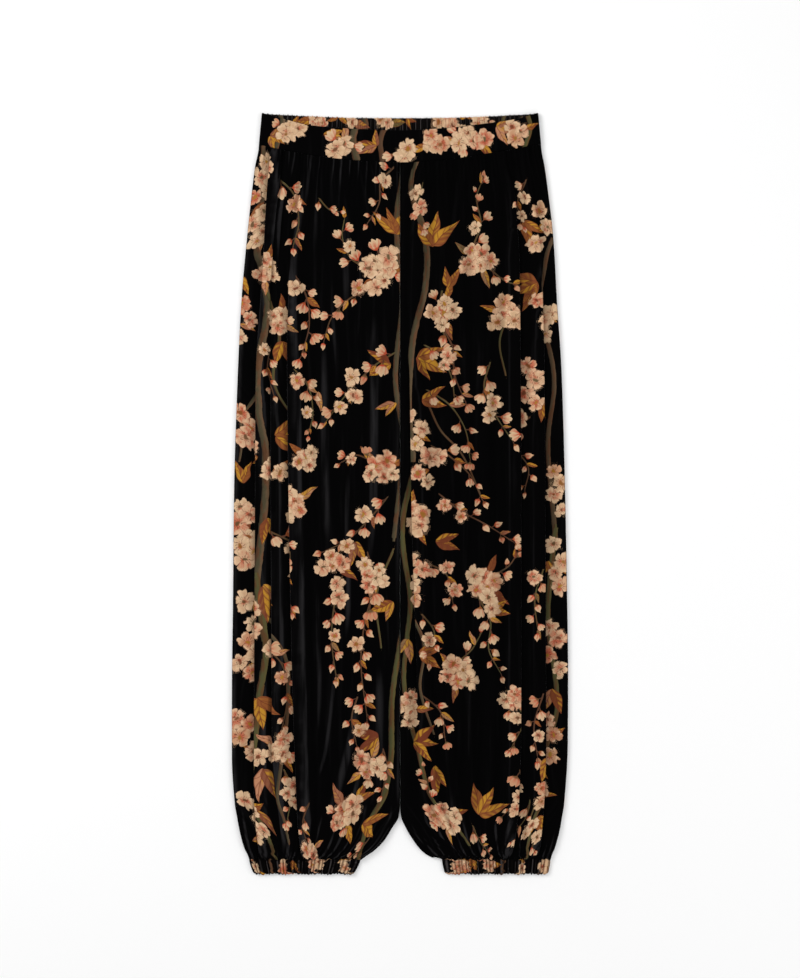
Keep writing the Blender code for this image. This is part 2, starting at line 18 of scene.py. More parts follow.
import bpy
import numpy as np
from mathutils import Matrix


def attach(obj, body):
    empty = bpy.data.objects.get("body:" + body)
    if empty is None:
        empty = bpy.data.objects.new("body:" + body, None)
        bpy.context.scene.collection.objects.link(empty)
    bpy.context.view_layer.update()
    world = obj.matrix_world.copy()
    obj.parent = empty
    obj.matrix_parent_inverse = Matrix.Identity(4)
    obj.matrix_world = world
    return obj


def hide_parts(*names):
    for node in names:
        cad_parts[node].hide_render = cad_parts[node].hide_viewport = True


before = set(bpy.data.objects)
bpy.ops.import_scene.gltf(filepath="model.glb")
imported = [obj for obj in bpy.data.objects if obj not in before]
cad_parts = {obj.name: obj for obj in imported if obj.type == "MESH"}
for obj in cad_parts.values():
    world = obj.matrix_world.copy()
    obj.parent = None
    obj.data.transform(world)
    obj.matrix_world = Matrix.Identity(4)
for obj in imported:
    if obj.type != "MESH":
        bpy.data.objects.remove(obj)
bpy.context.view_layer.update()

log = logging.getLogger("trousers")

MM = 0.001
UP = math.pi / 2
DOWN = -UP

# Cloth
VELVET = 1.3
BAND_CLOTH = 2.4
CUFF_CLOTH = 1.7
SEAM_GAP = 0.3
HALF_GAP = SEAM_GAP / 2

# Whole garment
TOP_Y = 490.0
HEM_Y = -490.0
BAND_FOOT_Y = 449.0
SEAM_Y = 448.0
CROTCH_TOP_Y = 146.0
CROTCH_FOOT_Y = 112.0
CUFF_TOP_Y = -469.0
LEG_FOOT_Y = -468.7
WAIST_HALF_TOP = 177.5
WAIST_HALF_FOOT = 181.3

# Heights of the layers' centre lines above the surface, and how far along they change
BACK_LEVEL = VELVET / 2
REST_LEVEL = VELVET + SEAM_GAP + VELVET / 2 + 0.5
EDGE_LEVEL = 4.2
SIDE_SEAM_LEVEL = 2.4
WAIST_LEVEL = 4.6
WAIST_RISE_REACH = 118.0
ANKLE_LEVEL = 3.7
BLOUSE = 1.5
BLOUSE_Y = -440.0
BLOUSE_REACH = 60.0
DROOP_REACH = 22.0
EDGE_REACH = 16.0
DIP_REACH = 258.0
CENTRE_SEAM_DIP = 0.5
CENTRE_SEAM_REACH = 3.0

# Where the painted sheen is dimmed and the painted trough shade deepened, above the ankle and again near the
# waist
QUIET_FROM_Y = -455.0
QUIET_REACH = 70.0
WAIST_QUIET = 0.13
WAIST_QUIET_Y = 350.0
WAIST_QUIET_REACH = 60.0

# Knife folds: three layers, each one step above the last
LAYER_STEP = 1.9
FOLD_DEPTH = 7.0
TURNED_OVER = 0.3
LEAST_OVERLAP = 0.5
FOLD_RAMP = 17.0
CHORDS = 6
OVERLAP_STEPS = 3
SHOULDER = 1.4
UNDER_MARGIN = 1.0

# Gathers: uneven steps, heights and lengths, taken in turn across a seam
GATHER_STEPS = (5.2, 6.9, 4.6, 7.8, 5.9, 4.9, 8.4, 6.2, 5.5)
GATHER_HEIGHTS = (1.0, 0.55, 0.82, 0.4, 0.93, 0.68, 0.35, 0.76, 0.5, 0.88, 0.6)
CREST_BLUR = 6
CREST_LIMIT = 1.2
WAIST_GATHERING = 0.3
WAIST_GATHERING_REACH = 120.0
ANKLE_GATHERING = 0.65
ANKLE_GATHERING_REACH = 85.0
GATHER_REACHES = (0.95, 0.42, 0.7, 0.33, 0.58, 1.0, 0.48, 0.8, 0.37, 0.62, 0.9, 0.45, 0.52)


def clamp(value: float) -> float:
    """The value held between 0 and 1."""
    return max(0.0, min(1.0, value))


def hump(gap: np.ndarray) -> np.ndarray:
    """A round rise to 1 where the gap is 0, down to 0 where it is 1 or more."""
    return np.where(gap < 1.0, 0.5 + 0.5 * np.cos(np.pi * np.minimum(gap, 1.0)), 0.0)


def soft_step(value: float | np.ndarray) -> float | np.ndarray:
    """A smooth rise from 0 to 1 as a number or an array goes from 0 to 1."""
    held = np.clip(value, 0.0, 1.0)
    return held * held * (3.0 - 2.0 * held)


def soft_slope(places: Sequence[float], values: Sequence[float], index: int) -> float:
    """Find the slope at one point of a table that never overshoots its points.

    Args:
        places: The table's places, rising.
        values: The value at each place.
        index: Which point.

    Returns:
        The slope there.
    """
    if index in (0, len(places) - 1):
        return 0.0
    before = (values[index] - values[index - 1]) / (places[index] - places[index - 1])
    after = (values[index + 1] - values[index]) / (places[index + 1] - places[index])
    return 0.0 if before * after <= 0.0 else 2.0 * before * after / (before + after)


def seam_wave(x: np.ndarray, y: float) -> np.ndarray:
    """How far the ankle seam wanders from its line at each place, less and less away from it."""
    wander = 0.9 * np.sin(x * 0.41 + 0.7) + 0.6 * np.sin(x * 0.83 + 2.1) + 0.45 * np.sin(x * 0.157)
    return wander * soft_step(1.0 - abs(y - CUFF_TOP_Y) / 14.0)


def through(places: Sequence[float], values: Sequence[float], at: float) -> float:
    """Read a smooth curve through a table at one place.

    Args:
        places: The table's places, rising.
        values: The value at each place.
        at: Where to read it.

    Returns:
        The value there, held at the table's ends beyond them.
    """
    if at <= places[0]:
        return values[0]
    if at >= places[-1]:
        return values[-1]
    index = next(i for i in range(1, len(places)) if at <= places[i]) - 1
    width = places[index + 1] - places[index]
    part = (at - places[index]) / width
    start = soft_slope(places, values, index) * width
    end = soft_slope(places, values, index + 1) * width
    return (
        values[index] * (1 + 2 * part) * (1 - part) ** 2
        + start * part * (1 - part) ** 2
        + values[index + 1] * part * part * (3 - 2 * part)
        - end * part * part * (1 - part)
    )


def down_the_leg(table: Sequence[tuple], y: float, column: int) -> float:
    """Read one column of a table whose rows start with y, highest first.

    Args:
        table: The rows.
        y: The level to read.
        column: Which column of the rows.

    Returns:
        The column's value at that level.
    """
    rising = table[::-1]
    return through([row[0] for row in rising], [row[column] for row in rising], y)


def both_sides(row: np.ndarray, wall: float, start: float, end: float) -> tuple[np.ndarray, np.ndarray]:
    """Give a centre line its wall: each point moved out along the line's normal to either side.

    Args:
        row: Points of (place, height), from the side seam inwards.
        wall: The cloth's thickness.
        start: The line's heading before its first point, an angle above level as it runs inwards.
        end: Its heading after its last point.

    Returns:
        The upper face's points and the lower face's.
    """
    steps = np.diff(row, axis=0)
    headings = np.arctan2(steps[:, 1], -steps[:, 0])
    before = np.concatenate(([start], headings[:-1], [end]))
    after = np.concatenate(([start], headings[1:], [end]))
    bend = np.arctan2(np.sin(after - before), np.cos(after - before))
    heading = before + bend / 2
    reach = wall / 2 / np.cos(bend / 2)
    offset = np.stack((reach * np.sin(heading), reach * np.cos(heading)), axis=1)
    return row + offset, row - offset


def quarter_turn(edge: float, seam: float, level: float, wall: float) -> np.ndarray:
    """Turn a centre line from a side seam up or down to a layer, from the seam inwards.

    Args:
        edge: Where the outer face of the turn reaches to.
        seam: The seam's height.
        level: The layer's height.
        wall: The cloth's thickness.

    Returns:
        Points of (place, height).
    """
    angles = np.linspace(0.0, math.pi / 2, CHORDS + 1)
    inwards = wall / 2 + abs(level - seam) * (1 - np.cos(angles))
    return np.stack((edge - inwards, seam + (level - seam) * np.sin(angles)), axis=1)


# ---------------------------------------------------------------------------------------------- the print


class Family(Enum):
    """A kind of printed motif, and how many layers of the print may hold it."""

    BRANCH = ("branch", 3)
    LEAF = ("leaf", 3)
    BUD = ("bud", 3)
    BLOSSOM = ("blossom", 6)

    def layers(self) -> list[str]:
        """The names of the layers that hold this kind, lowest first."""
        return [f"{self.value[0]}_{number}" for number in range(1, self.value[1] + 1)]


ALL_LAYERS = tuple(name for family in Family for name in family.layers())
NOWHERE = (9.0, 9.0, 0.0)
FACE_MARGIN = 3.0
LINE_STEP = 1.5


class Plate:
    """One printed face of a piece: its quads in cloth coordinates, and what each layer prints on them."""

    def __init__(
        self, across: np.ndarray, along: np.ndarray, seen_x: np.ndarray, nearness: np.ndarray
    ) -> None:
        """Lay out the plate.

        Args:
            across: Each vertex's place across the cloth, by rows.
            along: Each vertex's place along the cloth.
            seen_x: Each vertex's x in the garment.
            nearness: How near each vertex is to a viewer of this face.
        """
        self.across, self.along, self.seen_x, self.nearness = across, along, seen_x, nearness
        flat = np.stack((across, along), axis=2)
        self.corners = np.stack((flat[:-1, :-1], flat[:-1, 1:], flat[1:, 1:], flat[1:, :-1]), axis=2)
        self.middles = self.corners.mean(axis=2)
        shape = self.corners.shape[:3]
        self.ink = {name: np.broadcast_to(NOWHERE, shape + (3,)).copy() for name in ALL_LAYERS}
        self.taken = {name: np.zeros(shape[:2], bool) for name in ALL_LAYERS}
        self.left_out = {family: 0 for family in Family}

    def cloth_place(self, x: float, y: float) -> np.ndarray:
        """Find the cloth that shows at a place of the garment.

        Args:
            x: The place's x.
            y: The place's y.

        Returns:
            Its cloth coordinates, (across, along).
        """
        far = np.hypot(self.seen_x - x, self.along - y)
        close = far < max(3.0, far.min() + 1.0)
        best = np.argmax(np.where(close, self.nearness, -np.inf))
        return np.array((self.across.flat[best] + x - self.seen_x.flat[best], y))

    def cloth_line(self, points: tuple) -> np.ndarray:
        """A smooth line through the cloth that shows at points of the garment."""
        return smooth_line(np.array([self.cloth_place(x, y) for x, y in points]))

    def put(self, family: Family, near: np.ndarray, values: np.ndarray, tone: float) -> None:
        """Print a motif on some quads, in the first layer of its kind that is free there.

        Args:
            family: The kind of motif.
            near: Which quads, by rows.
            values: The motif's own coordinates at each corner of those quads.
            tone: The motif's tone number.
        """
        if not near.any():
            return
        for name in family.layers():
            if not (self.taken[name] & near).any():
                self.taken[name] |= near
                block = self.ink[name][near]
                block[:, :, :2] = values
                block[:, :, 2] = tone
                self.ink[name][near] = block
                return
        self.left_out[family] += 1

    def stamp(
        self,
        family: Family,
        at: np.ndarray,
        size: float,
        turn: float,
        tone: float,
        reach: float,
        middle: float = 0.0,
    ) -> None:
        """Print one motif from its own origin.

        Args:
            family: The kind of motif.
            at: Its origin in cloth coordinates.
            size: The length of its own unit.
            turn: Its heading.
            tone: Its tone number.
            reach: How far it stretches from its middle, in its own unit.
            middle: How far ahead of its origin its middle is, in its own unit.
        """
        ahead = np.array((math.cos(turn), math.sin(turn)))
        gaps = np.hypot(*(self.middles - at - ahead * middle * size).transpose(2, 0, 1))
        near = gaps < reach * size + FACE_MARGIN
        away = (self.corners[near] - at) / size
        aside = np.array((-ahead[1], ahead[0]))
        self.put(family, near, np.stack((away @ ahead, away @ aside), axis=-1), tone)

    def blossom(self, at: np.ndarray, size: float, chance: random.Random) -> None:
        """Print one open blossom."""
        self.stamp(Family.BLOSSOM, at, size, chance.uniform(0, math.tau), chance.random(), 1.05)

    def bell(self, at: np.ndarray, heading: float, length: float, chance: random.Random) -> None:
        """Print one half-open blossom seen from the side. Tones above 1 are these."""
        self.stamp(Family.BUD, at, length, heading, 1.0 + chance.random() * 0.98, 0.6, 0.5)

    def bud(self, at: np.ndarray, heading: float, length: float, chance: random.Random) -> None:
        """Print one closed bud."""
        self.stamp(Family.BUD, at, length, heading, chance.random() * 0.98, 0.5, 0.5)

    def leaf(self, at: np.ndarray, heading: float, length: float, tone: float) -> None:
        """Print one leaf from its stalk end."""
        self.stamp(Family.LEAF, at, length, heading, clamp(tone), 0.5, 0.5)

    def stroke(self, line: np.ndarray, start: float, end: float, tone: float) -> None:
        """Print a branch or twig along a smooth line.

        Args:
            line: The line's samples, in cloth coordinates.
            start: Its width at the first sample.
            end: Its width at the last.
            tone: Its tone number.
        """
        lengths = np.concatenate(([0.0], np.cumsum(np.hypot(*np.diff(line, axis=0).T))))
        run = np.gradient(line, axis=0)
        run /= np.hypot(*run.T)[:, None]
        taper = np.sqrt(np.clip(np.minimum(lengths, lengths[-1] - lengths) / 4, 0.0004, 1))
        halves = (start + (end - start) * lengths / lengths[-1]) / 2 * taper
        low, high = line.min(axis=0) - 9.0, line.max(axis=0) + 9.0
        rows, columns = np.nonzero(((self.middles > low) & (self.middles < high)).all(axis=2))
        middles = self.middles[rows, columns]
        gaps = np.hypot(middles[:, None, 0] - line[None, :, 0], middles[:, None, 1] - line[None, :, 1])
        nearest = gaps.argmin(axis=1)
        keep = gaps[np.arange(len(nearest)), nearest] < halves[nearest] + FACE_MARGIN
        rows, columns, nearest = rows[keep], columns[keep], nearest[keep]
        away = self.corners[rows, columns] - line[nearest][:, None]
        tangent = run[nearest][:, None]
        forward = (away * tangent).sum(axis=2) + lengths[nearest][:, None]
        sideways = away[..., 1] * tangent[..., 0] - away[..., 0] * tangent[..., 1]
        near = np.zeros(self.middles.shape[:2], bool)
        near[rows, columns] = True
        self.put(Family.BRANCH, near, np.stack((forward, sideways / halves[nearest][:, None]), axis=2), tone)


BLOSSOMS_A_LEAF = 5


def smooth_line(points: np.ndarray) -> np.ndarray:
    """Draw a smooth line through points, with a sample about every LINE_STEP.

    Args:
        points: The points, in order.

    Returns:
        The samples.
    """
    padded = np.vstack((2 * points[0] - points[1], points, 2 * points[-1] - points[-2]))
    samples = []
    for a, b, c, d in zip(padded, padded[1:], padded[2:], padded[3:]):
        t = np.linspace(0.0, 1.0, max(2, int(np.hypot(*(c - b)) / LINE_STEP)), endpoint=False)[:, None]
        squared, cubed = 2 * a - 5 * b + 4 * c - d, 3 * b - a - 3 * c + d
        samples.append(0.5 * (2 * b + (c - a) * t + squared * t**2 + cubed * t**3))
    return np.vstack(samples + [points[-1:]])


@dataclass(frozen=True)
class Branch:
    """A bare branch through points of the garment, with its width at both ends."""

    points: tuple
    start: float = 7.0
    end: float = 4.0
    tone: float = 0.3

    def draw(self, plate: Plate, chance: random.Random) -> None:
        """Print the branch on a plate."""
        plate.stroke(plate.cloth_line(self.points), self.start, self.end, self.tone)


@dataclass(frozen=True)
class Cluster:
    """A bunch of open blossoms round one place, with half-open ones and a leaf or two at its rim."""

    x: float
    y: float
    wide: float
    tall: float
    count: int
    size: float = 14.2

    def draw(self, plate: Plate, chance: random.Random) -> None:
        """Print the bunch: its blossoms spiral out from the middle.

        Args:
            plate: Where it is printed.
            chance: What varies it.
        """
        middle = plate.cloth_place(self.x, self.y)
        phase = chance.uniform(0, math.tau)
        for number in range(1 + self.count // BLOSSOMS_A_LEAF):
            heading = phase + 2.4 * number + chance.uniform(-0.4, 0.4)
            root = middle + 0.75 * np.array((self.wide * math.cos(heading), self.tall * math.sin(heading)))
            plate.leaf(root, heading, self.size * chance.uniform(1.5, 2.2), chance.random())
        for index in range(self.count):
            reach = math.sqrt((index + 0.3) / self.count)
            angle = phase + 2.39996 * index + chance.uniform(-0.3, 0.3)
            at = middle + reach * np.array((self.wide * math.cos(angle), self.tall * math.sin(angle)))
            size = self.size * chance.uniform(0.74, 1.08)
            if reach > 0.75 and chance.random() < 0.4:
                inner = at - 0.4 * size * np.array((math.cos(angle), math.sin(angle)))
                plate.bell(inner, angle + chance.uniform(-0.5, 0.5), size * 1.35, chance)
            else:
                plate.blossom(at, size, chance)


@dataclass(frozen=True)
class Garland:
    """Open blossoms strewn along a line of the garment, with leaves between them."""

    points: tuple
    size: float = 14.2
    every: float = 19.0
    spread: float = 9.0

    def draw(self, plate: Plate, chance: random.Random) -> None:
        """Print the blossoms on both sides of the line in turn.

        Args:
            plate: Where they are printed.
            chance: What varies them.
        """
        line = plate.cloth_line(self.points)
        count = max(2, round(len(line) * LINE_STEP / self.every))
        for index in range(count):
            at = line[int((index + 0.5) / count * (len(line) - 1))]
            side = 1 if index % 2 else -1
            aside = np.array((side * self.spread * chance.uniform(0.4, 1.2), chance.uniform(-4.0, 4.0)))
            if index % 3 == 1:
                turn = (0.5 - 0.5 * side) * math.pi + chance.uniform(-1.2, 1.2)
                plate.leaf(at - aside * 0.5, turn, self.size * chance.uniform(1.6, 2.3), chance.random())
            plate.blossom(at + aside, self.size * chance.uniform(0.82, 1.15), chance)


@dataclass(frozen=True)
class Spray:
    """A thin twig through points of the garment, hung with small blossoms, half-open ones and buds."""

    points: tuple
    size: float = 12.5
    open_share: float = 0.25
    every: float = 13.5
    tone: float = 0.45
    width: float = 2.6

    def draw(self, plate: Plate, chance: random.Random) -> None:
        """Print the twig and its flowers on their stalks, smaller and more closed to its tip.

        Args:
            plate: Where it is printed.
            chance: What varies it.
        """
        line = plate.cloth_line(self.points)
        plate.stroke(line, self.width, self.width * 0.55, clamp(self.tone + chance.uniform(-0.1, 0.25)))
        count = max(3, round(len(line) * LINE_STEP / self.every))
        for index in range(count + 1):
            part = min((index + chance.uniform(0.2, 0.6)) / count, 1.0)
            spot = min(int(part * (len(line) - 1)), len(line) - 2)
            ahead = line[spot + 1] - line[spot]
            along = math.atan2(ahead[1], ahead[0])
            lean = (1 if index % 2 else -1) * chance.uniform(0.35, 1.0) * (0.2 if index == count else 1.0)
            size = self.size * (1.12 - 0.3 * part) * chance.uniform(0.85, 1.15)
            if index % 4 == 2:
                plate.leaf(line[spot], along - lean, size * chance.uniform(1.0, 1.7), chance.random())
            if part < 0.75 and chance.random() < self.open_share:
                out = np.array((math.cos(along + lean), math.sin(along + lean)))
                plate.blossom(line[spot] + out * size * 0.8, size * 0.9, chance)
            elif chance.random() < 0.85 - 0.6 * part:
                plate.bell(line[spot], along + lean, size * 1.45, chance)
            else:
                plate.bud(line[spot], along + lean, size * 1.3, chance)


@dataclass(frozen=True)
class Leaves:
    """A fan of leaves from one place, each with its heading in degrees."""

    x: float
    y: float
    headings: tuple
    length: float = 40.0
    tone: float = 0.2

    def draw(self, plate: Plate, chance: random.Random) -> None:
        """Print the fan."""
        root = plate.cloth_place(self.x, self.y)
        for heading in self.headings:
            length = self.length * chance.uniform(0.85, 1.15)
            plate.leaf(root, math.radians(heading), length, self.tone + chance.uniform(-0.15, 0.2))


LEFT_FRONT_PRINT = (
    Branch(((-176, 455), (-182, 360), (-170, 250), (-183, 130), (-173, 0), (-185, -120)), 9.0, 10.5, 0.2),
    Branch(((-186, -100), (-174, -220), (-188, -330), (-173, -430), (-160, -480)), 10.5, 7.5, 0.65),
    Branch(((-172, 262), (-155, 205), (-161, 140), (-146, 84)), 5.0, 3.0, 0.6),
    Branch(((-183, 140), (-202, 100), (-207, 40)), 4.5, 3.0, 0.25),
    Branch(((-178, -150), (-149, -205), (-144, -270), (-153, -350), (-141, -450)), 5.5, 4.5, 0.3),
    Branch(((4, 420), (-5, 340), (3, 250), (-6, 150), (4, 60), (-8, -60)), 8.0, 6.0, 0.3),
    Branch(((2, -180), (-10, -260), (-12, -340), (-38, -420), (-52, -480)), 7.0, 9.5, 0.7),
    Branch(((-8, -70), (-30, -130), (-24, -200)), 3.6, 2.4, 0.65),
    # down the outer side
    Garland(((-168, 432), (-176, 395), (-181, 352), (-178, 318)), 15.2, 14.0, 10.0),
    Cluster(-172, 286, 15, 15, 5, 13.6),
    Spray(((-152, 404), (-136, 384), (-130, 350), (-137, 318)), 14.0),
    Spray(((-104, 380), (-92, 366), (-78, 362)), 10.0, 0.1),
    Spray(((-134, 280), (-120, 252), (-117, 215), (-127, 176)), 13.5),
    Leaves(-206, 282, (-70, -100), 30.0, 0.05),
    Garland(((-196, 250), (-201, 220), (-200, 190)), 13.5),
    Cluster(-150, 222, 14, 17, 5, 13.6),
    Leaves(-152, 196, (-70, -115), 36.0, 0.5),
    Spray(((-166, 190), (-170, 160), (-162, 128)), 12.0),
    Spray(((-136, 160), (-118, 138), (-112, 104), (-118, 76)), 12.0),
    Leaves(-106, 132, (-80,), 26.0, 0.7),
    Leaves(-160, 74, (5, 42, -38), 38.0, 0.15),
    Garland(((-197, 112), (-193, 70), (-176, 42), (-152, 20)), 14.6, 17.0, 9.0),
    Cluster(-118, 44, 14, 13, 4, 13.6),
    Cluster(-142, -14, 20, 18, 7, 15.0),
    Leaves(-202, 14, (68, 105), 34.0, 0.1),
    Garland(((-198, -8), (-201, -50), (-195, -96)), 15.0, 13.5, 8.0),
    Leaves(-172, -32, (-62, -100), 36.0, 0.5),
    Spray(((-160, -46), (-142, -74), (-134, -110), (-139, -150)), 13.5),
    Leaves(-176, -118, (-40, -84), 44.0, 0.55),
    Garland(((-190, -132), (-180, -168), (-190, -206), (-200, -240)), 15.0, 14.0, 11.0),
    Spray(((-170, -186), (-152, -218), (-145, -262), (-152, -304)), 13.5),
    Leaves(-184, -262, (-30, -72, -120), 40.0, 0.35),
    Garland(((-201, -280), (-194, -318), (-184, -346)), 14.6, 13.5, 9.0),
    Cluster(-154, -326, 15, 18, 5, 14.0),
    Leaves(-176, -352, (-62, -98), 44.0, 0.75),
    Spray(((-150, -352), (-138, -384), (-144, -420)), 12.5),
    Garland(((-196, -388), (-188, -416), (-181, -446)), 14.4, 13.0, 8.0),
    Leaves(-184, -404, (-72, -40), 40.0, 0.6),
    # the middle of the leg
    Leaves(-4, 334, (52, 96, 132), 42.0, 0.2),
    Cluster(-24, 290, 22, 27, 9, 15.5),
    Spray(((-46, 292), (-64, 304), (-74, 330), (-71, 356)), 12.0, 0.15),
    Spray(((-8, 420), (-24, 402), (-27, 374), (-42, 348)), 13.0),
    Spray(((-40, 262), (-66, 250), (-88, 226), (-98, 196)), 12.5, 0.15),
    Spray(((-6, 182), (-34, 164), (-64, 134), (-96, 92)), 13.5, 0.25),
    Leaves(-12, 168, (150, 212), 34.0, 0.4),
    Leaves(-6, 118, (200, 235), 26.0, 0.75),
    Cluster(-24, 32, 18, 17, 6, 14.6),
    Spray(((-38, 44), (-58, 50), (-76, 40)), 11.5, 0.1),
    Spray(((-16, -4), (-38, -30), (-66, -58), (-98, -74)), 13.5, 0.4),
    Cluster(-88, -88, 16, 15, 4, 14.6),
    Leaves(-58, -62, (-100, -60), 30.0, 0.5),
    Spray(((-74, -104), (-84, -140), (-88, -186), (-82, -236)), 13.0, 0.3),
    Spray(((-42, -74), (-34, -118), (-46, -168), (-50, -222), (-42, -290)), 13.5, 0.3),
    Cluster(-32, -104, 13, 15, 4, 13.0),
    Leaves(-10, -138, (206, 252), 32.0, 0.55),
    Spray(((-54, -258), (-62, -288), (-56, -322)), 12.0),
    Leaves(-28, -312, (170, 218), 36.0, 0.5),
    Cluster(-40, -350, 16, 16, 5, 14.2),
    Spray(((-22, -326), (-16, -356), (-24, -386)), 12.0),
    Leaves(-56, -392, (60, 20, 100), 30.0, 0.45),
    Cluster(-74, -414, 21, 18, 7, 15.4),
    Leaves(-48, -424, (-30, 24, -78), 32.0, 0.35),
    Spray(((-116, -396), (-124, -424), (-118, -452)), 11.5),
    Spray(((-38, -440), (-50, -456), (-66, -468)), 11.0),
    Cluster(-114, -457, 16, 11, 4, 13.4),
)

RIGHT_FRONT_PRINT = (
    Branch(((22, 455), (15, 400), (31, 335), (33, 270), (17, 200), (11, 120), (17, 40)), 9.0, 8.0, 0.25),
    Branch(((14, 70), (3, -40), (13, -150), (5, -240), (23, -330), (47, -400), (90, -452)), 8.0, 5.0, 0.7),
    Branch(((196, 330), (186, 250), (198, 150), (190, 60), (200, -60)), 6.0, 6.5, 0.35),
    Branch(((200, -40), (190, -160), (201, -280), (184, -390), (160, -470)), 7.5, 5.5, 0.6),
    Branch(((36, 116), (52, 82), (80, 50), (104, -2)), 3.0, 2.2, 0.5),
    Branch(((12, -130), (30, -190), (26, -250), (44, -310)), 5.0, 3.0, 0.25),
    Branch(((54, 262), (50, 228), (60, 196)), 3.2, 2.4, 0.7),
    Branch(((142, 236), (128, 196), (136, 150)), 3.2, 2.4, 0.65),
    Leaves(42, 318, (88, 46, 130, -12), 46.0, 0.25),
    Spray(((30, 400), (24, 372), (30, 344)), 12.0),
    Cluster(54, 236, 19, 20, 6, 14.6),
    Leaves(62, 266, (100, 58, 20), 32.0, 0.2),
    Spray(((56, 212), (68, 186), (70, 154), (84, 118)), 13.0, 0.25),
    Cluster(100, 300, 19, 15, 6, 14.2),
    Spray(((94, 318), (104, 348), (98, 380), (106, 404)), 12.0, 0.2),
    Spray(((114, 290), (134, 274), (152, 268)), 11.0, 0.1),
    Leaves(158, 350, (-72, -30), 32.0, 0.1),
    Spray(((162, 404), (152, 374), (158, 344)), 11.5),
    Garland(((186, 372), (182, 340), (186, 312)), 13.2),
    Leaves(176, 272, (165, 206, 242), 40.0, 0.35),
    Cluster(138, 232, 20, 19, 5, 15.2),
    Garland(((180, 256), (188, 226), (184, 196)), 13.8, 18.0, 8.0),
    Leaves(160, 262, (70, 110), 28.0, 0.15),
    Spray(((116, 170), (108, 136), (122, 102), (146, 66)), 13.5, 0.35),
    Garland(((172, 170), (166, 138), (172, 108)), 14.8, 16.0, 8.0),
    Leaves(184, 122, (-48, -95), 36.0, 0.3),
    Spray(((168, 100), (158, 72), (164, 36), (160, 4)), 12.5),
    Leaves(22, 176, (18, -28, -62), 38.0, 0.35),
    Spray(((30, 192), (52, 178), (66, 150), (70, 122)), 12.0, 0.2),
    Leaves(28, 120, (-12, 30, 75), 32.0, 0.4),
    Spray(((34, 134), (64, 114), (84, 82), (90, 44)), 12.5, 0.2),
    Garland(((14, 104), (26, 72), (34, 38), (22, 6)), 14.4, 16.0, 9.0),
    Cluster(14, -34, 17, 22, 7, 15.0),
    Spray(((40, 62), (64, 48), (90, 24), (106, -8)), 13.0, 0.25),
    Spray(((50, 0), (78, -22), (112, -40), (146, -62)), 12.5, 0.2),
    Garland(((16, -72), (24, -104), (14, -136)), 14.0, 17.0, 8.0),
    Leaves(46, -60, (-22, 16), 32.0, 0.45),
    Spray(((34, -88), (60, -104), (68, -140)), 12.5),
    Cluster(108, -116, 19, 19, 6, 14.8),
    Spray(((122, -104), (140, -92), (152, -74)), 11.0, 0.1),
    Spray(((100, -132), (116, -164), (114, -200), (130, -232)), 13.0, 0.35),
    Leaves(116, -150, (-8, 30), 28.0, 0.3),
    Spray(((26, -152), (44, -178), (38, -214)), 12.5),
    Leaves(24, -204, (-35, 10, 48), 36.0, 0.3),
    Leaves(10, -186, (-80, -120), 30.0, 0.8),
    Cluster(74, -234, 18, 17, 6, 14.4),
    Spray(((72, -218), (92, -200), (106, -176)), 12.0, 0.2),
    Spray(((28, -258), (52, -280), (58, -316)), 11.5, 0.1),
    Cluster(10, -278, 12, 19, 4, 13.8),
    Leaves(18, -318, (38, -5, -48), 32.0, 0.45),
    Cluster(142, -268, 12, 14, 4, 13.4),
    Spray(((136, -250), (150, -288), (143, -326)), 12.0),
    Leaves(44, -350, (-84, -60), 34.0, 0.6),
    Cluster(56, -416, 21, 16, 7, 14.8),
    Spray(((44, -398), (36, -376), (30, -352)), 10.5, 0.1),
    Leaves(102, -412, (100, 20, 62, -38), 46.0, 0.3),
    Spray(((92, -424), (102, -444), (116, -462)), 12.0),
    Spray(((152, -352), (147, -384), (132, -412)), 12.5),
    Spray(((166, -392), (158, -420), (144, -446)), 11.5),
    # the side seam
    Garland(((203, 40), (202, 4), (206, -30)), 13.0, 19.0, 5.0),
    Garland(((200, -60), (204, -92), (199, -126)), 13.6, 17.0, 6.0),
    Leaves(190, -86, (-125, -70), 36.0, 0.2),
    Spray(((184, -96), (173, -134), (177, -176)), 12.5),
    Garland(((200, -160), (196, -196), (203, -236)), 13.6, 18.0, 7.0),
    Leaves(196, -250, (-112, -70), 38.0, 0.6),
    Spray(((184, -256), (172, -298), (177, -340)), 13.0),
    Garland(((197, -282), (192, -312), (199, -346)), 13.0, 19.0, 6.0),
    Leaves(190, -338, (-60, -106, -150), 38.0, 0.15),
    Cluster(186, -384, 14, 15, 4, 13.2),
    Leaves(180, -412, (-52, -98), 34.0, 0.1),
    Spray(((172, -400), (164, -426), (171, -456)), 12.0),
)

LEFT_CUFF_PRINT = (
    Cluster(-186, -478, 6, 9, 2, 12.0),
    Branch(((-170, -462), (-166, -480), (-171, -496)), 4.5, 4.5, 0.4),
    Cluster(-150, -478, 8, 9, 2, 12.5),
    Leaves(-140, -470, (-60, -110), 18.0, 0.25),
    Cluster(-112, -473, 12, 6, 3, 11.5),
    Cluster(-68, -482, 9, 7, 2, 12.0),
)

RIGHT_CUFF_PRINT = (
    Cluster(80, -479, 14, 8, 3, 13.0),
    Leaves(96, -470, (-60, -110), 18.0, 0.25),
    Cluster(116, -477, 9, 8, 2, 12.5),
    Branch(((136, -462), (133, -480), (137, -496)), 4.5, 4.5, 0.4),
    Cluster(156, -483, 7, 6, 1, 12.0),
    Cluster(187, -479, 7, 9, 2, 13.0),
)

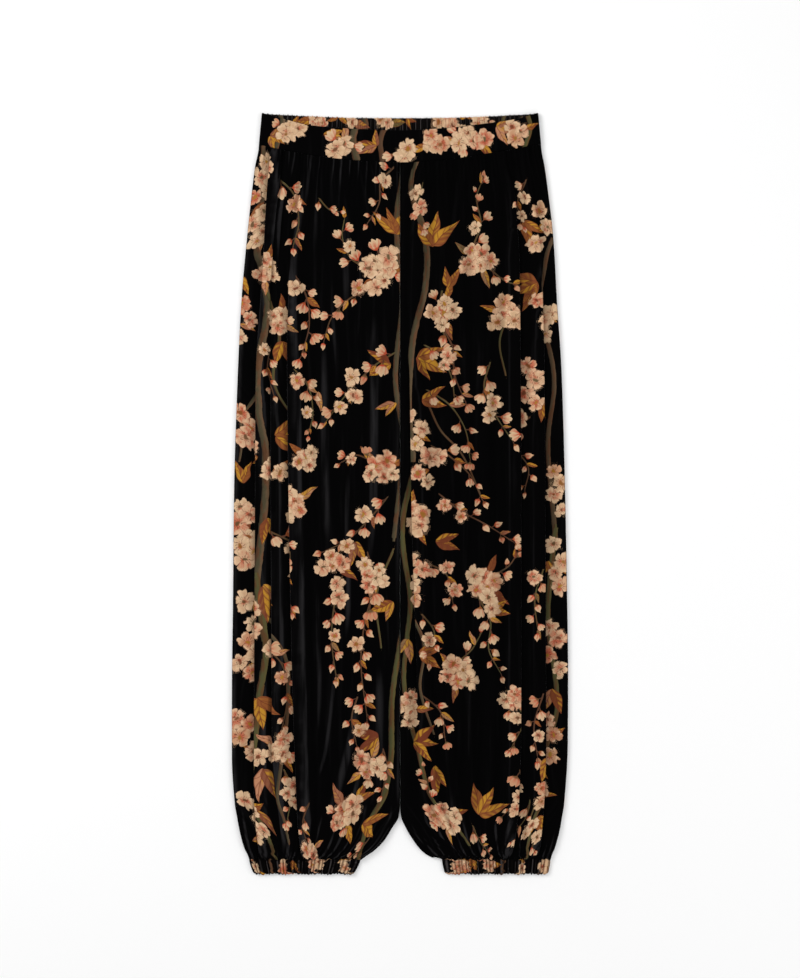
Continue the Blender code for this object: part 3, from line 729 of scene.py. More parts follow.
BAND_FRONT_PRINT = (
    Branch(((-150, 500), (-152, 470), (-160, 440)), 6.0, 7.0, 0.3),
    Branch(((-44, 500), (-60, 460), (-55, 425)), 9.0, 10.0, 0.25),
    Branch(((-14, 480), (-25, 455), (-22, 425)), 7.0, 7.5, 0.4),
    Branch(((92, 490), (80, 455), (84, 430)), 6.0, 7.0, 0.65),
    Branch(((160, 496), (167, 470), (158, 440)), 6.0, 6.0, 0.7),
    Cluster(-142, 468, 16, 12, 4, 14.6),
    Leaves(-166, 460, (-30, -80, 20), 24.0, 0.5),
    Cluster(-74, 446, 20, 12, 4, 15.0),
    Leaves(-98, 462, (8, -14), 30.0, 0.1),
    Cluster(4, 438, 16, 10, 3, 14.2),
    Leaves(-30, 446, (165, 200, 95), 26.0, 0.5),
    Cluster(44, 450, 13, 12, 3, 13.4),
    Cluster(88, 457, 27, 12, 7, 15.0),
    Leaves(124, 472, (-18, 25, -60), 26.0, 0.7),
    Cluster(150, 465, 13, 11, 3, 14.0),
)

BAND_BACK_PRINT = (
    Branch(((-158, 500), (-151, 470), (-158, 440)), 7.0, 7.0, 0.3),
    Branch(((-54, 500), (-44, 475), (-53, 440)), 9.0, 9.5, 0.25),
    Branch(((140, 500), (132, 475), (138, 440)), 6.0, 7.0, 0.65),
    Branch(((36, 500), (42, 475), (34, 440)), 5.0, 6.0, 0.4),
    Cluster(-104, 480, 15, 7, 3, 13.6),
    Leaves(-78, 486, (-35, 200), 24.0, 0.05),
    Cluster(-66, 478, 12, 7, 2, 13.6),
    Cluster(-20, 477, 12, 7, 2, 13.6),
    Leaves(8, 484, (-20, -65), 20.0, 0.5),
    Cluster(58, 477, 20, 7, 4, 13.8),
    Leaves(86, 484, (10, 165, -40), 24.0, 0.3),
    Cluster(106, 479, 14, 7, 3, 13.4),
    Cluster(160, 474, 10, 9, 2, 12.0),
    Cluster(-146, 462, 18, 10, 4, 13.2),
    Cluster(84, 460, 22, 8, 4, 13.2),
    Leaves(30, 456, (15, -20, 170), 28.0, 0.4),
)


# --------------------------------------------------------------------------------------------- the finish


class Wiring:
    """Adds nodes to one tree and joins them."""

    def __init__(self, tree: bpy.types.NodeTree) -> None:
        """Take the tree to add to."""
        self.tree = tree

    def put(self, kind: str, **settings: object) -> bpy.types.Node:
        """Add a node and set its own properties."""
        node = self.tree.nodes.new(kind)
        for name, value in settings.items():
            setattr(node, name, value)
        return node

    def feed(self, socket: bpy.types.NodeSocket, value: object) -> None:
        """Join a socket to another one, or give it a plain value."""
        if isinstance(value, bpy.types.NodeSocket):
            self.tree.links.new(value, socket)
        elif value is not None:
            socket.default_value = value

    def sum(self, operation: str, *values: object) -> bpy.types.NodeSocket:
        """Work out one step of arithmetic.

        Args:
            operation: The step's name.
            values: Its numbers or sockets.

        Returns:
            The result.
        """
        node = self.put("ShaderNodeMath", operation=operation)
        for socket, value in zip(node.inputs, values):
            self.feed(socket, value)
        return node.outputs[0]

    def between(
        self, value: object, low: object, high: object, start: float = 0.0, end: float = 1.0
    ) -> bpy.types.NodeSocket:
        """Rise smoothly from start to end as the value goes from low to high.

        Args:
            value: The number.
            low: Where the change begins.
            high: Where it ends.
            start: What comes out at low.
            end: What comes out at high.

        Returns:
            The changed number.
        """
        node = self.put("ShaderNodeMapRange", interpolation_type="SMOOTHSTEP", clamp=False)
        for index, part in enumerate((value, low, high, start, end)):
            self.feed(node.inputs[index], part)
        return node.outputs[0]

    def over(self, ground: object, ink: object, share: object) -> bpy.types.NodeSocket:
        """Lay one colour over another by a share."""
        node = self.put("ShaderNodeMix", data_type="RGBA")
        self.feed(node.inputs[0], share)
        self.feed(node.inputs[6], ground)
        self.feed(node.inputs[7], ink)
        return node.outputs[2]

    def times(self, value: object, factor: object) -> bpy.types.NodeSocket:
        """Multiply two numbers."""
        return self.sum("MULTIPLY", value, factor)

    def scaled(self, value: object, factor: object, offset: object) -> bpy.types.NodeSocket:
        """Multiply two numbers and add a third."""
        return self.sum("MULTIPLY_ADD", value, factor, offset)

    def below(self, value: object, limit: object) -> bpy.types.NodeSocket:
        """1 where the number is under the limit, else 0."""
        return self.sum("LESS_THAN", value, limit)

    def above(self, value: object, limit: object) -> bpy.types.NodeSocket:
        """1 where the number is over the limit, else 0."""
        return self.sum("GREATER_THAN", value, limit)

    def tones(self, value: object, stops: Sequence[tuple]) -> bpy.types.NodeSocket:
        """Pick a colour from a row of tones.

        Args:
            value: The number that picks it, from 0 to 1.
            stops: The tones, each a (place, colour).

        Returns:
            The colour.
        """
        node = self.put("ShaderNodeValToRGB")
        self.feed(node.inputs[0], value)
        ramp = node.color_ramp.elements
        while len(ramp) < len(stops):
            ramp.new(0.5)
        for element, (place, colour) in zip(ramp, stops):
            element.position = place
            element.color = (*colour, 1.0)
        return node.outputs[0]

    def noise(self, vector: object, scale: float, detail: float = 2.0) -> bpy.types.NodeSocket:
        """Soft noise from 0 to 1."""
        node = self.put("ShaderNodeTexNoise")
        self.feed(node.inputs["Vector"], vector)
        self.feed(node.inputs["Scale"], scale)
        self.feed(node.inputs["Detail"], detail)
        return node.outputs[0]

    def chance(self, number: object) -> bpy.types.NodeSocket:
        """A number from 0 to 1 that jumps with its input."""
        node = self.put("ShaderNodeTexWhiteNoise", noise_dimensions="1D")
        self.feed(node.inputs["W"], number)
        return node.outputs["Value"]


@dataclass(frozen=True)
class Inks:
    """The print's colours."""

    pale: tuple = (0.71, 0.47, 0.295)
    cream: tuple = (0.585, 0.405, 0.243)
    peach: tuple = (0.53, 0.338, 0.192)
    blush: tuple = (0.46, 0.212, 0.116)
    coral: tuple = (0.44, 0.064, 0.03)
    rust: tuple = (0.14, 0.034, 0.016)
    ochre: tuple = (0.46, 0.225, 0.024)
    amber: tuple = (0.235, 0.076, 0.022)
    olive: tuple = (0.074, 0.068, 0.028)
    taupe: tuple = (0.06, 0.05, 0.028)
    twig: tuple = (0.085, 0.037, 0.022)
    umber: tuple = (0.09, 0.035, 0.016)
    bark: tuple = (0.022, 0.013, 0.009)
    moss: tuple = (0.042, 0.051, 0.021)
    stamen: tuple = (0.045, 0.016, 0.011)
    pollen: tuple = (0.36, 0.2, 0.025)


class Motifs:
    """The shapes that the print is made of, each a node group that paints over a ground."""

    def __init__(self, inks: Inks) -> None:
        """Draw every motif once.

        Args:
            inks: The print's colours.
        """
        self.inks = inks
        self.groups = {
            Family.BRANCH: self.draw("Branch motif", self.branch),
            Family.LEAF: self.draw("Leaf motif", self.leaf),
            Family.BUD: self.draw("Bud motif", self.bud),
            Family.BLOSSOM: self.draw("Blossom motif", self.blossom),
        }

    def draw(self, name: str, painter: Callable) -> bpy.types.NodeTree:
        """Make a group that takes a spot and a ground colour and gives the painted colour.

        Args:
            name: The group's name.
            painter: What works out the ink and its share from the spot's three numbers.

        Returns:
            The group.
        """
        tree = bpy.data.node_groups.new(name, "ShaderNodeTree")
        tree.interface.new_socket("Spot", in_out="INPUT", socket_type="NodeSocketVector")
        tree.interface.new_socket("Ground", in_out="INPUT", socket_type="NodeSocketColor")
        tree.interface.new_socket("Painted", in_out="OUTPUT", socket_type="NodeSocketColor")
        wires = Wiring(tree)
        start = wires.put("NodeGroupInput")
        end = wires.put("NodeGroupOutput")
        parts = wires.put("ShaderNodeSeparateXYZ")
        wires.feed(parts.inputs[0], start.outputs[0])
        ink, share = painter(wires, *parts.outputs[:3])
        wires.feed(end.inputs[0], wires.over(start.outputs[1], ink, share))
        return tree

    @staticmethod
    def hand_drawn(w: Wiring, x: object, y: object, tone: object, scale: float, reach: float) -> tuple:
        """Shift a motif's own coordinates a little here and there, as a brush does.

        Args:
            w: The group's wiring.
            x: The first coordinate.
            y: The second one.
            tone: The motif's tone number, so that no two are shifted alike.
            scale: How often the shift changes.
            reach: How far it goes.

        Returns:
            The two shifted coordinates, and a soft number that changes as they do.
        """
        spot = w.put("ShaderNodeCombineXYZ")
        for socket, value in zip(spot.inputs, (x, y, w.times(tone, 37.0))):
            w.feed(socket, value)
        node = w.put("ShaderNodeTexNoise")
        w.feed(node.inputs["Vector"], spot.outputs[0])
        node.inputs["Scale"].default_value = scale
        node.inputs["Detail"].default_value = 0.0
        parts = w.put("ShaderNodeSeparateColor")
        w.feed(parts.inputs[0], node.outputs["Color"])
        shifted = [
            w.sum("ADD", at, w.scaled(part, reach, -reach / 2)) for at, part in zip((x, y), parts.outputs)
        ]
        return *shifted, parts.outputs[2]

    def blossom(self, w: Wiring, x: object, y: object, tone: object) -> tuple:
        """Five uneven petals with pale rims, flushed and streaked from the middle, with dark stamens.

        Args:
            w: The group's wiring.
            x: The place along the motif.
            y: The place across it.
            tone: Its tone number.

        Returns:
            The ink, and how much of it covers the ground.
        """
        k = self.inks
        x, y, paint = self.hand_drawn(w, x, y, tone, 2.3, 0.44)
        r = w.sum("SQRT", w.sum("ADD", w.times(x, x), w.times(y, y)))
        around = w.sum("ARCTAN2", y, x)
        turns = w.times(around, 5 / math.tau)
        petal = w.sum("ROUND", turns)
        off = w.sum("ABSOLUTE", w.sum("SUBTRACT", turns, petal))
        own = w.chance(w.scaled(tone, 91.0, w.sum("FLOORED_MODULO", petal, 5.0)))
        reach = w.scaled(own, 0.34, 0.7)
        side = w.sum("POWER", w.times(off, 2.0), 3.0)
        notch = w.between(off, 0.0, 0.12, 0.06, 0.0)
        edge = w.times(reach, w.sum("SUBTRACT", w.scaled(side, -0.32, 1.0), notch))
        share = w.below(r, edge)
        mood = w.sum("FRACT", w.times(tone, 3.7))
        face = w.tones(mood, ((0.0, k.cream), (0.6, k.cream), (0.85, k.peach), (1.0, k.blush)))
        inner = w.sum("DIVIDE", r, edge)
        brushed = w.between(paint, 0.4, 0.64)
        rim = w.times(w.between(inner, 0.6, 0.95), w.between(paint, 0.56, 0.36))
        face = w.over(face, (*k.pale, 1.0), rim)
        wash = w.times(w.between(inner, 1.0, 0.5), w.scaled(brushed, 0.42, 0.0))
        face = w.over(face, (*k.blush, 1.0), wash)
        red = w.chance(w.times(tone, 53.0))
        streaks = w.scaled(w.sum("COSINE", w.times(around, 26.0)), 0.5, 0.5)
        depth = w.scaled(w.times(red, red), 1.25, w.scaled(own, 0.3, 0.16))
        flush = w.times(w.between(r, depth, 0.12), w.scaled(brushed, 0.75, 0.4))
        face = w.over(face, (*k.coral, 1.0), w.times(flush, w.scaled(streaks, 0.45, 0.55)))
        split = w.times(w.between(off, 0.42, 0.49), w.between(r, 0.1, 0.3))
        face = w.over(face, (*k.rust, 1.0), w.times(split, 0.6))
        face = w.over(face, (*k.rust, 1.0), w.times(w.between(inner, 0.9, 1.0), 0.4))
        spokes = w.sum("COSINE", w.scaled(around, 10.0, w.times(tone, 17.0)))
        thread = w.times(w.above(spokes, 0.88), w.below(r, 0.34))
        face = w.over(face, (*k.stamen, 1.0), w.times(thread, 0.5))
        dots = w.times(w.below(w.sum("ABSOLUTE", w.sum("SUBTRACT", r, 0.36)), 0.05),
            w.above(spokes, 0.66),
        )
        face = w.over(face, (*k.stamen, 1.0), w.times(dots, 0.65))
        eye = w.tones(w.sum("FRACT", w.times(tone, 7.3)), ((0.0, k.olive), (0.4, k.rust), (1.0, k.pollen)))
        face = w.over(face, eye, w.times(w.between(r, 0.26, 0.1), 0.9))
        return face, share

    def bud(self, w: Wiring, x: object, y: object, tone: object) -> tuple:
        """A bud on its stalk, or above a tone of 1 a half-open blossom seen from the side.

        Args:
            w: The group's wiring.
            x: The place along the motif.
            y: The place across it.
            tone: Its tone number.

        Returns:
            The ink, and how much of it covers the ground.
        """
        k = self.inks
        x, y, paint = self.hand_drawn(w, x, y, tone, 2.8, 0.16)
        open_up = w.above(tone, 0.99)
        own = w.sum("FRACT", tone)
        aside = w.sum("ABSOLUTE", y)
        up = w.sum("MAXIMUM", w.scaled(x, 1.35, -0.35), 0.0)
        slim = w.times(w.sum("SINE", w.times(w.sum("POWER", up, 0.8), math.pi)), 0.25)
        fanned = w.sum("SINE", w.times(w.sum("POWER", up, 1.1), 2.75))
        wide = w.times(fanned, w.scaled(own, 0.14, 0.31))
        width = w.sum("ADD", slim, w.times(w.sum("SUBTRACT", wide, slim), open_up))
        lobes = w.times(w.sum("ABSOLUTE", w.sum("COSINE", w.times(y, 10.0))), 0.16)
        rounded = w.times(w.sum("POWER", aside, 2.0), -1.1)
        tip = w.sum("ADD", w.sum("ADD", lobes, rounded), 0.86)
        last = w.scaled(open_up, w.sum("SUBTRACT", tip, 1.0), 1.0)
        within = w.below(aside, w.sum("MAXIMUM", width, 0.036))
        inside = w.times(within, w.above(x, 0.0))
        share = w.times(inside, w.below(x, last))
        face = w.tones(own, ((0.0, k.cream), (0.55, k.cream), (0.8, k.peach), (1.0, k.blush)))
        fan = w.sum("DIVIDE", y, w.sum("ADD", up, 0.25))
        streaks = w.scaled(w.sum("COSINE", w.times(fan, 17.0)), 0.4, 0.45)
        brushed = w.sum("ADD", streaks, w.times(w.between(paint, 0.4, 0.62), 0.35))
        strength = w.scaled(w.chance(w.times(tone, 29.0)), 0.8, 0.3)
        flush = w.times(w.between(up, 0.95, 0.25), w.times(brushed, strength))
        face = w.over(face, (*k.coral, 1.0), flush)
        creased = w.below(w.sum("ABSOLUTE", w.sum("COSINE", w.times(fan, 5.5))), 0.14)
        face = w.over(face, (*k.coral, 1.0), w.times(w.times(creased, open_up), 0.5))
        hem = w.times(w.between(w.sum("SUBTRACT", width, aside), 0.05, 0.0), 0.4)
        face = w.over(face, (*k.rust, 1.0), hem)
        cup = w.between(x, w.scaled(w.sum("FRACT", w.times(own, 5.0)), 0.16, 0.42), 0.38)
        sepals = w.tones(own, ((0.0, k.rust), (0.3, k.amber), (0.6, k.coral), (1.0, k.olive)))
        face = w.over(face, sepals, cup)
        return w.over(face, (*k.twig, 1.0), w.between(x, 0.34, 0.24)), share

    def leaf(self, w: Wiring, x: object, y: object, tone: object) -> tuple:
        """A pointed leaf with a midrib and side veins, streaked with yellow, more on one half.

        Args:
            w: The group's wiring.
            x: The place along the motif.
            y: The place across it.
            tone: Its tone number.

        Returns:
            The ink, and how much of it covers the ground.
        """
        k = self.inks
        x, y, paint = self.hand_drawn(w, x, y, tone, 2.6, 0.13)
        aside = w.sum("ABSOLUTE", y)
        held = w.sum("MINIMUM", w.sum("MAXIMUM", x, 0.0), 1.0)
        bow = w.sum("SINE", w.times(w.sum("POWER", held, 0.72), math.pi))
        width = w.times(bow, w.scaled(held, -0.07, 0.215))
        share = w.below(aside, w.sum("SUBTRACT", width, 0.006))
        own = w.chance(w.times(tone, 31.0))
        slant = w.sum("SUBTRACT", x, w.times(aside, 1.5))
        ribs = w.sum("COSINE", w.scaled(slant, 26.0, w.times(paint, 9.0)))
        half = w.scaled(w.above(y, 0.0), 0.55, w.scaled(own, 0.9, -0.47))
        yellow = w.between(w.sum("ADD", w.scaled(ribs, 0.2, half), paint), 0.65, 1.25)
        face = w.tones(tone, ((0.0, k.amber), (0.3, k.amber), (0.55, k.rust), (0.8, k.blush), (1.0, k.olive)))
        face = w.over(face, (*k.ochre, 1.0), w.times(yellow, 0.9))
        face = w.over(face, (*k.rust, 1.0), w.times(w.between(ribs, -0.55, -1.0), 0.5))
        margin = w.between(w.sum("DIVIDE", aside, w.sum("MAXIMUM", width, 0.001)), 0.72, 1.0)
        face = w.over(face, (*k.rust, 1.0), w.times(margin, 0.75))
        face = w.over(face, (*k.rust, 1.0), w.times(w.below(aside, 0.013), 0.8))
        return face, share

    def branch(self, w: Wiring, along: object, aside: object, tone: object) -> tuple:
        """Bark that is dark along one edge and mossy along the other, streaked along the branch.

        Args:
            w: The group's wiring.
            along: The place along the branch.
            aside: The place across it, -1 to 1.
            tone: Its tone number.

        Returns:
            The ink, and how much of it covers the ground.
        """
        k = self.inks
        flow = w.put("ShaderNodeCombineXYZ")
        w.feed(flow.inputs[0], w.times(along, 0.05))
        w.feed(flow.inputs[1], w.scaled(aside, 0.9, w.times(tone, 40.0)))
        grain = w.noise(flow.outputs[0], 2.4, 3.0)
        patches = w.noise(flow.outputs[0], 0.8, 1.0)
        share = w.below(w.sum("ABSOLUTE", aside), w.scaled(grain, 0.5, 0.68))
        body = w.tones(tone, ((0.0, k.taupe), (0.3, k.taupe), (0.45, k.twig), (0.6, k.olive), (1.0, k.moss)))
        body = w.over(body, (*k.umber, 1.0), w.times(w.between(patches, 0.46, 0.6), 0.75))
        lit = w.between(w.scaled(grain, 1.6, aside), 0.6, 1.5)
        gleam = w.tones(tone, ((0.0, k.blush), (0.5, k.taupe), (1.0, k.pollen)))
        face = w.over(body, gleam, w.times(lit, 0.2))
        shade = w.between(w.scaled(grain, 0.9, aside), 0.2, -0.7)
        face = w.over(face, (*k.bark, 1.0), w.times(shade, 0.8))
        return face, share


@dataclass(frozen=True)
class PrintedVelvet:
    """Black velvet with the blossom print, with a painted sheen colour on the crests of its creases and
    painted shade in their troughs.
    """

    name: str
    ground: tuple = (0.0007, 0.0006, 0.0007)
    # The colour of the painted sheen laid on the crests of the creases.
    brushed: tuple = (0.0152, 0.0144, 0.0152)
    sheen: float = 0.2
    sheen_roughness: float = 0.2
    hollow_shade: float = 0.6
    hollow_from: float = -0.9
    hollow_to: float = 0.0
    streak_scale: float = 9.0
    pile_scale: float = 1900.0
    pile_depth: float = 0.00025

    def make(self, motifs: Motifs) -> bpy.types.Material:
        """Build the material: the ground with its painted sheen, then every layer of the print, and the pile
        and the painted trough shade over all of it.

        Args:
            motifs: The print's shapes.

        Returns:
            The material.
        """
        material = bpy.data.materials.new(self.name)
        material.use_nodes = True
        w = Wiring(material.node_tree)
        shader = material.node_tree.nodes["Principled BSDF"]
        cloth = w.put("ShaderNodeAttribute", attribute_name="cloth").outputs["Vector"]
        parts = w.put("ShaderNodeSeparateXYZ")
        w.feed(parts.inputs[0], cloth)
        brush = w.put("ShaderNodeMapping", vector_type="POINT")
        w.feed(brush.inputs["Vector"], cloth)
        brush.inputs["Scale"].default_value = (14.0, 1.0, 0.0)
        streaks = w.noise(brush.outputs[0], self.streak_scale, 3.0)
        # Painted sheen: the crests of the creases, broken into streaks, are lightened towards that colour.
        crest = w.between(parts.outputs[2], 0.14, 0.75)
        painted_crest_sheen = w.times(crest, w.between(streaks, 0.34, 0.62, 0.12, 1.15))
        painted_sheen = w.sum("ADD", painted_crest_sheen, w.times(w.between(streaks, 0.5, 0.78), 0.12))
        colour = w.over((*self.ground, 1.0), (*self.brushed, 1.0), painted_sheen)
        for family in Family:
            for layer in family.layers():
                spot = w.put("ShaderNodeAttribute", attribute_name=layer).outputs["Vector"]
                stage = w.put("ShaderNodeGroup", node_tree=motifs.groups[family])
                w.feed(stage.inputs["Spot"], spot)
                w.feed(stage.inputs["Ground"], colour)
                colour = stage.outputs["Painted"]
        grain = w.put("ShaderNodeMapping", vector_type="POINT")
        w.feed(grain.inputs["Vector"], cloth)
        grain.inputs["Scale"].default_value = (1.0, 0.55, 0.0)
        pile = w.noise(grain.outputs[0], self.pile_scale, 2.0)
        # Painted shade: the colour is darkened in the troughs of the creases, down to the hollow shade, and
        # varied with the pile noise.
        trough = w.between(parts.outputs[2], self.hollow_from, self.hollow_to, self.hollow_shade, 1.0)
        pile_and_painted_shade = w.times(w.scaled(pile, 0.36, 0.82), trough)
        shaded = w.put("ShaderNodeHueSaturation")
        w.feed(shaded.inputs["Color"], colour)
        w.feed(shaded.inputs["Value"], pile_and_painted_shade)
        w.feed(shader.inputs["Base Color"], shaded.outputs[0])
        w.feed(shader.inputs["Roughness"], w.scaled(streaks, 0.2, 0.72))
        shader.inputs["Specular IOR Level"].default_value = 0.02
        shader.inputs["Sheen Weight"].default_value = self.sheen
        shader.inputs["Sheen Roughness"].default_value = self.sheen_roughness
        shader.inputs["Sheen Tint"].default_value = (0.84, 0.82, 0.86, 1.0)
        bump = w.put("ShaderNodeBump")
        bump.inputs["Strength"].default_value = 0.5
        bump.inputs["Distance"].default_value = self.pile_depth
        w.feed(bump.inputs["Height"], pile)
        w.feed(shader.inputs["Normal"], bump.outputs[0])
        return material


# --------------------------------------------------------------------------------------------- the cloth


def crests(grid: np.ndarray, facing: float) -> np.ndarray:
    """Find how far each vertex stands out of the cloth round it, along its row.

    Args:
        grid: The face's points, by rows.
        facing: 1 for a face that looks up and -1 for one that looks down.

    Returns:
        The height over the smoothed cloth, by rows, less where it is a fold's step and not a crease.
    """
    bins = np.arange(-240.0, 241.0)
    reach = np.arange(-3 * CREST_BLUR, 3 * CREST_BLUR + 1)
    weights = np.exp(-0.5 * (reach / CREST_BLUR) ** 2)
    result = np.zeros(grid.shape[:2])
    for number, row in enumerate(grid):
        height = row[:, 2] * facing
        top = np.full(len(bins), -np.inf)
        np.maximum.at(top, np.rint(row[:, 0] + 240.0).astype(int), height)
        filled = np.isfinite(top)
        envelope = np.interp(bins, bins[filled], top[filled])
        within = ((bins >= row[:, 0].min()) & (bins <= row[:, 0].max())).astype(float)
        total = np.maximum(np.convolve(within, weights, "same"), 1e-6)
        smooth = np.convolve(envelope * within, weights, "same") / total
        result[number] = height - np.interp(row[:, 0], bins, smooth)
    return np.where(result > 0.0, result / (1.0 + (result / CREST_LIMIT) ** 4), np.maximum(result, -1.5))


@dataclass
class Piece:
    """One closed piece of cloth between two grids of points, in millimetres, with its print."""

    name: str
    upper: np.ndarray
    lower: np.ndarray
    across: np.ndarray
    ring: bool = False
    # How far each row's crest value is lowered, which deepens the painted trough shade and dims the painted
    # sheen; a negative value does the opposite.
    tucked: np.ndarray | float = 0.0

    def index_quads(self, first: int) -> np.ndarray:
        """The corner numbers of one grid's quads, by rows and columns."""
        rows, columns = self.upper.shape[:2]
        numbers = first + np.arange(rows * columns).reshape(rows, columns)
        if self.ring:
            numbers = np.concatenate((numbers, numbers[:, :1]), axis=1)
        return np.stack((numbers[:-1, :-1], numbers[:-1, 1:], numbers[1:, 1:], numbers[1:, :-1]), axis=2)

    def closing_quads(self) -> np.ndarray:
        """The corner numbers of the quads that close the wall at its edges."""
        rows, columns = self.upper.shape[:2]
        count = rows * columns
        top = np.arange(count).reshape(rows, columns)
        if self.ring:
            top = np.concatenate((top, top[:, :1]), axis=1)
        parts = []
        for edge, flip in ((top[0], True), (top[-1], False)):
            parts.append(self.edge_strip(edge, count, flip))
        if not self.ring:
            for edge, flip in ((top[:, 0], False), (top[:, -1], True)):
                parts.append(self.edge_strip(edge, count, flip))
        return np.concatenate(parts)

    @staticmethod
    def edge_strip(edge: np.ndarray, below: int, flip: bool) -> np.ndarray:
        """Quads between an edge of the upper grid and the same edge of the lower one.

        Args:
            edge: The upper edge's vertex numbers, in order.
            below: What to add for the lower grid's.
            flip: True to turn the quads the other way.

        Returns:
            The quads.
        """
        first, second = (edge[1:], edge[:-1]) if flip else (edge[:-1], edge[1:])
        return np.stack((first, second, second + below, first + below), axis=1)

    def plate(self, face: int) -> Plate:
        """The printing plate of the upper face (0) or the lower one (1).

        Args:
            face: 0 or 1.

        Returns:
            The plate.
        """
        points = (self.upper, self.lower)[face]
        across = self.across
        if self.ring:
            points = np.concatenate((points, points[:, :1]), axis=1)
            across = np.concatenate((across, across[:, :1] + self.round_length()[:, None]), axis=1)
        height = points[..., 2] if face == 0 else -points[..., 2]
        return Plate(across, points[..., 1], points[..., 0], height)

    def round_length(self) -> np.ndarray:
        """How far the cloth goes round each row of a ring, signed as the row runs."""
        return (self.across[:, -1] - self.across[:, 0]) * (1.0 + 1.0 / self.across.shape[1])

    def make(self, print_on: dict[int, Iterable], seed: int, finish: bpy.types.Material) -> bpy.types.Object:
        """Build the mesh with its print.

        Args:
            print_on: What to print on each face, 0 upper and 1 lower.
            seed: The seed of the print's small variations.
            finish: The cloth's material.

        Returns:
            The piece's object.
        """
        rows, columns = self.upper.shape[:2]
        count = rows * columns
        quads_above = self.index_quads(0)
        quads_below = self.index_quads(count)[:, :, ::-1]
        quads = np.concatenate((quads_above.reshape(-1, 4), quads_below.reshape(-1, 4), self.closing_quads()))
        points = np.concatenate((self.upper.reshape(-1, 3), self.lower.reshape(-1, 3))) * MM
        ink = {name: np.broadcast_to(NOWHERE, (len(quads), 4, 3)).copy() for name in ALL_LAYERS}
        each = quads_above.shape[0] * quads_above.shape[1]
        for face, motifs in print_on.items():
            plate = self.plate(face)
            chance = random.Random(seed + face)
            for motif in motifs:
                motif.draw(plate, chance)
            for name, values in plate.ink.items():
                block = values.reshape(-1, 4, 3)
                ink[name][face * each : (face + 1) * each] = block if face == 0 else block[:, ::-1]
            for family, number in plate.left_out.items():
                if number:
                    log.info("%s: no free layer for %d of kind %s", self.name, number, family.name)
        inside_out = self.facing_down(points, quads[: each])
        if inside_out:
            quads = quads[:, ::-1]
            ink = {name: values[:, ::-1] for name, values in ink.items()}
        mesh = bpy.data.meshes.new(self.name)
        mesh.vertices.add(len(points))
        mesh.vertices.foreach_set("co", points.ravel())
        mesh.loops.add(quads.size)
        mesh.loops.foreach_set("vertex_index", quads.ravel().astype(np.int32))
        mesh.polygons.add(len(quads))
        mesh.polygons.foreach_set("loop_start", np.arange(0, quads.size, 4, dtype=np.int32))
        mesh.update(calc_edges=True)
        mesh.validate()
        mesh.shade_smooth()
        mesh.set_sharp_from_angle(angle=math.radians(60))
        cloth = np.zeros((len(points), 3))
        cloth[:, 0] = np.concatenate((self.across.ravel(), self.across.ravel())) * MM
        cloth[:, 1] = points[:, 1]
        # The crest values drive the painted sheen and the painted trough shade; the shift lowers them row by
        # row.
        shadow = np.broadcast_to(np.reshape(self.tucked, (-1, 1)), (rows, columns))
        cloth[:count, 2] = (crests(self.upper, 1.0) - shadow).ravel()
        cloth[count:, 2] = crests(self.lower, -1.0).ravel()
        mesh.attributes.new("cloth", "FLOAT_VECTOR", "POINT").data.foreach_set("vector", cloth.ravel())
        for name, values in ink.items():
            layer = mesh.attributes.new(name, "FLOAT_VECTOR", "CORNER")
            layer.data.foreach_set("vector", np.ascontiguousarray(values, dtype=np.float32).ravel())
        mesh.materials.append(finish)
        thing = bpy.data.objects.new(self.name, mesh)
        bpy.context.scene.collection.objects.link(thing)
        log.info("%s: %d quads", self.name, len(quads))
        return thing

    @staticmethod
    def facing_down(points: np.ndarray, quads: np.ndarray) -> bool:
        """True where the upper face's quads point down."""
        a, b, c = (points[quads[:, i]] for i in (0, 1, 2))
        return float(np.cross(b - a, c - a)[:, 2].sum()) < 0.0


# --------------------------------------------------------------------------------------------- the legs


@dataclass(frozen=True)
class Ridge:
    """A soft crease that stands up: rows of (y, place, height), highest y first."""

    path: tuple
    half_width: float = 15.0


@dataclass(frozen=True)
class Fold:
    """A knife fold. Its edge faces the side seam (1) or the middle line (-1)."""

    facing: int
    plain_columns: int
    path: tuple


@dataclass(frozen=True)
class Gathers:
    """A row of gathers along a seam, uneven in step, height and length."""

    seam_y: float
    direction: int
    height: float
    reach: float
    width: float
    turn: int

    def lift(self, share: np.ndarray, row_width: float, y: float) -> np.ndarray:
        """Find how far the gathers raise a row.

        Args:
            share: Where each point is across the row, from 0 at the inner edge to 1 at the side seam.
            row_width: The row's width.
            y: The row's level.

        Returns:
            The lift at each point.
        """
        away = abs(y - self.seam_y)
        lift = np.zeros_like(share)
        if away >= self.reach:
            return lift
        place, index = 3.0, self.turn
        while place < self.width - 2.0:
            height = self.height * GATHER_HEIGHTS[index % len(GATHER_HEIGHTS)]
            reach = self.reach * GATHER_REACHES[index % len(GATHER_REACHES)]
            if away < reach:
                fade = (1.0 - away / reach) ** 1.4
                half = 2.9 + 3.8 * away / self.reach
                gap = np.abs(share - place / self.width) * row_width / half
                bump = np.where(gap < 1.0, 0.5 + 0.5 * np.cos(np.pi * np.minimum(gap, 1.0)), 0.0)
                lift = np.maximum(lift, height * fade * bump)
            place += GATHER_STEPS[index % len(GATHER_STEPS)] * (0.9 if self.direction > 0 else 0.72)
            index += 1
        return lift


@dataclass(frozen=True)
class Leg:
    """One leg's tables. The plain columns are those between the last fold and the inner edge."""

    name: str
    side: int
    stations: tuple
    folds: tuple
    ridges: tuple
    back_ridges: tuple
    plain_columns: int
    turn: int
    # How much this leg's painted sheen is dimmed, with its painted shade deepened, above the ankle.
    quiet: float = 0.0

    def outer(self, y: float) -> float:
        """How far the side seam is from the middle line."""
        return down_the_leg(self.stations, y, 1)

    def inner(self, y: float) -> float:
        """How far the inner edge is from the middle line."""
        return down_the_leg(self.stations, y, 2)


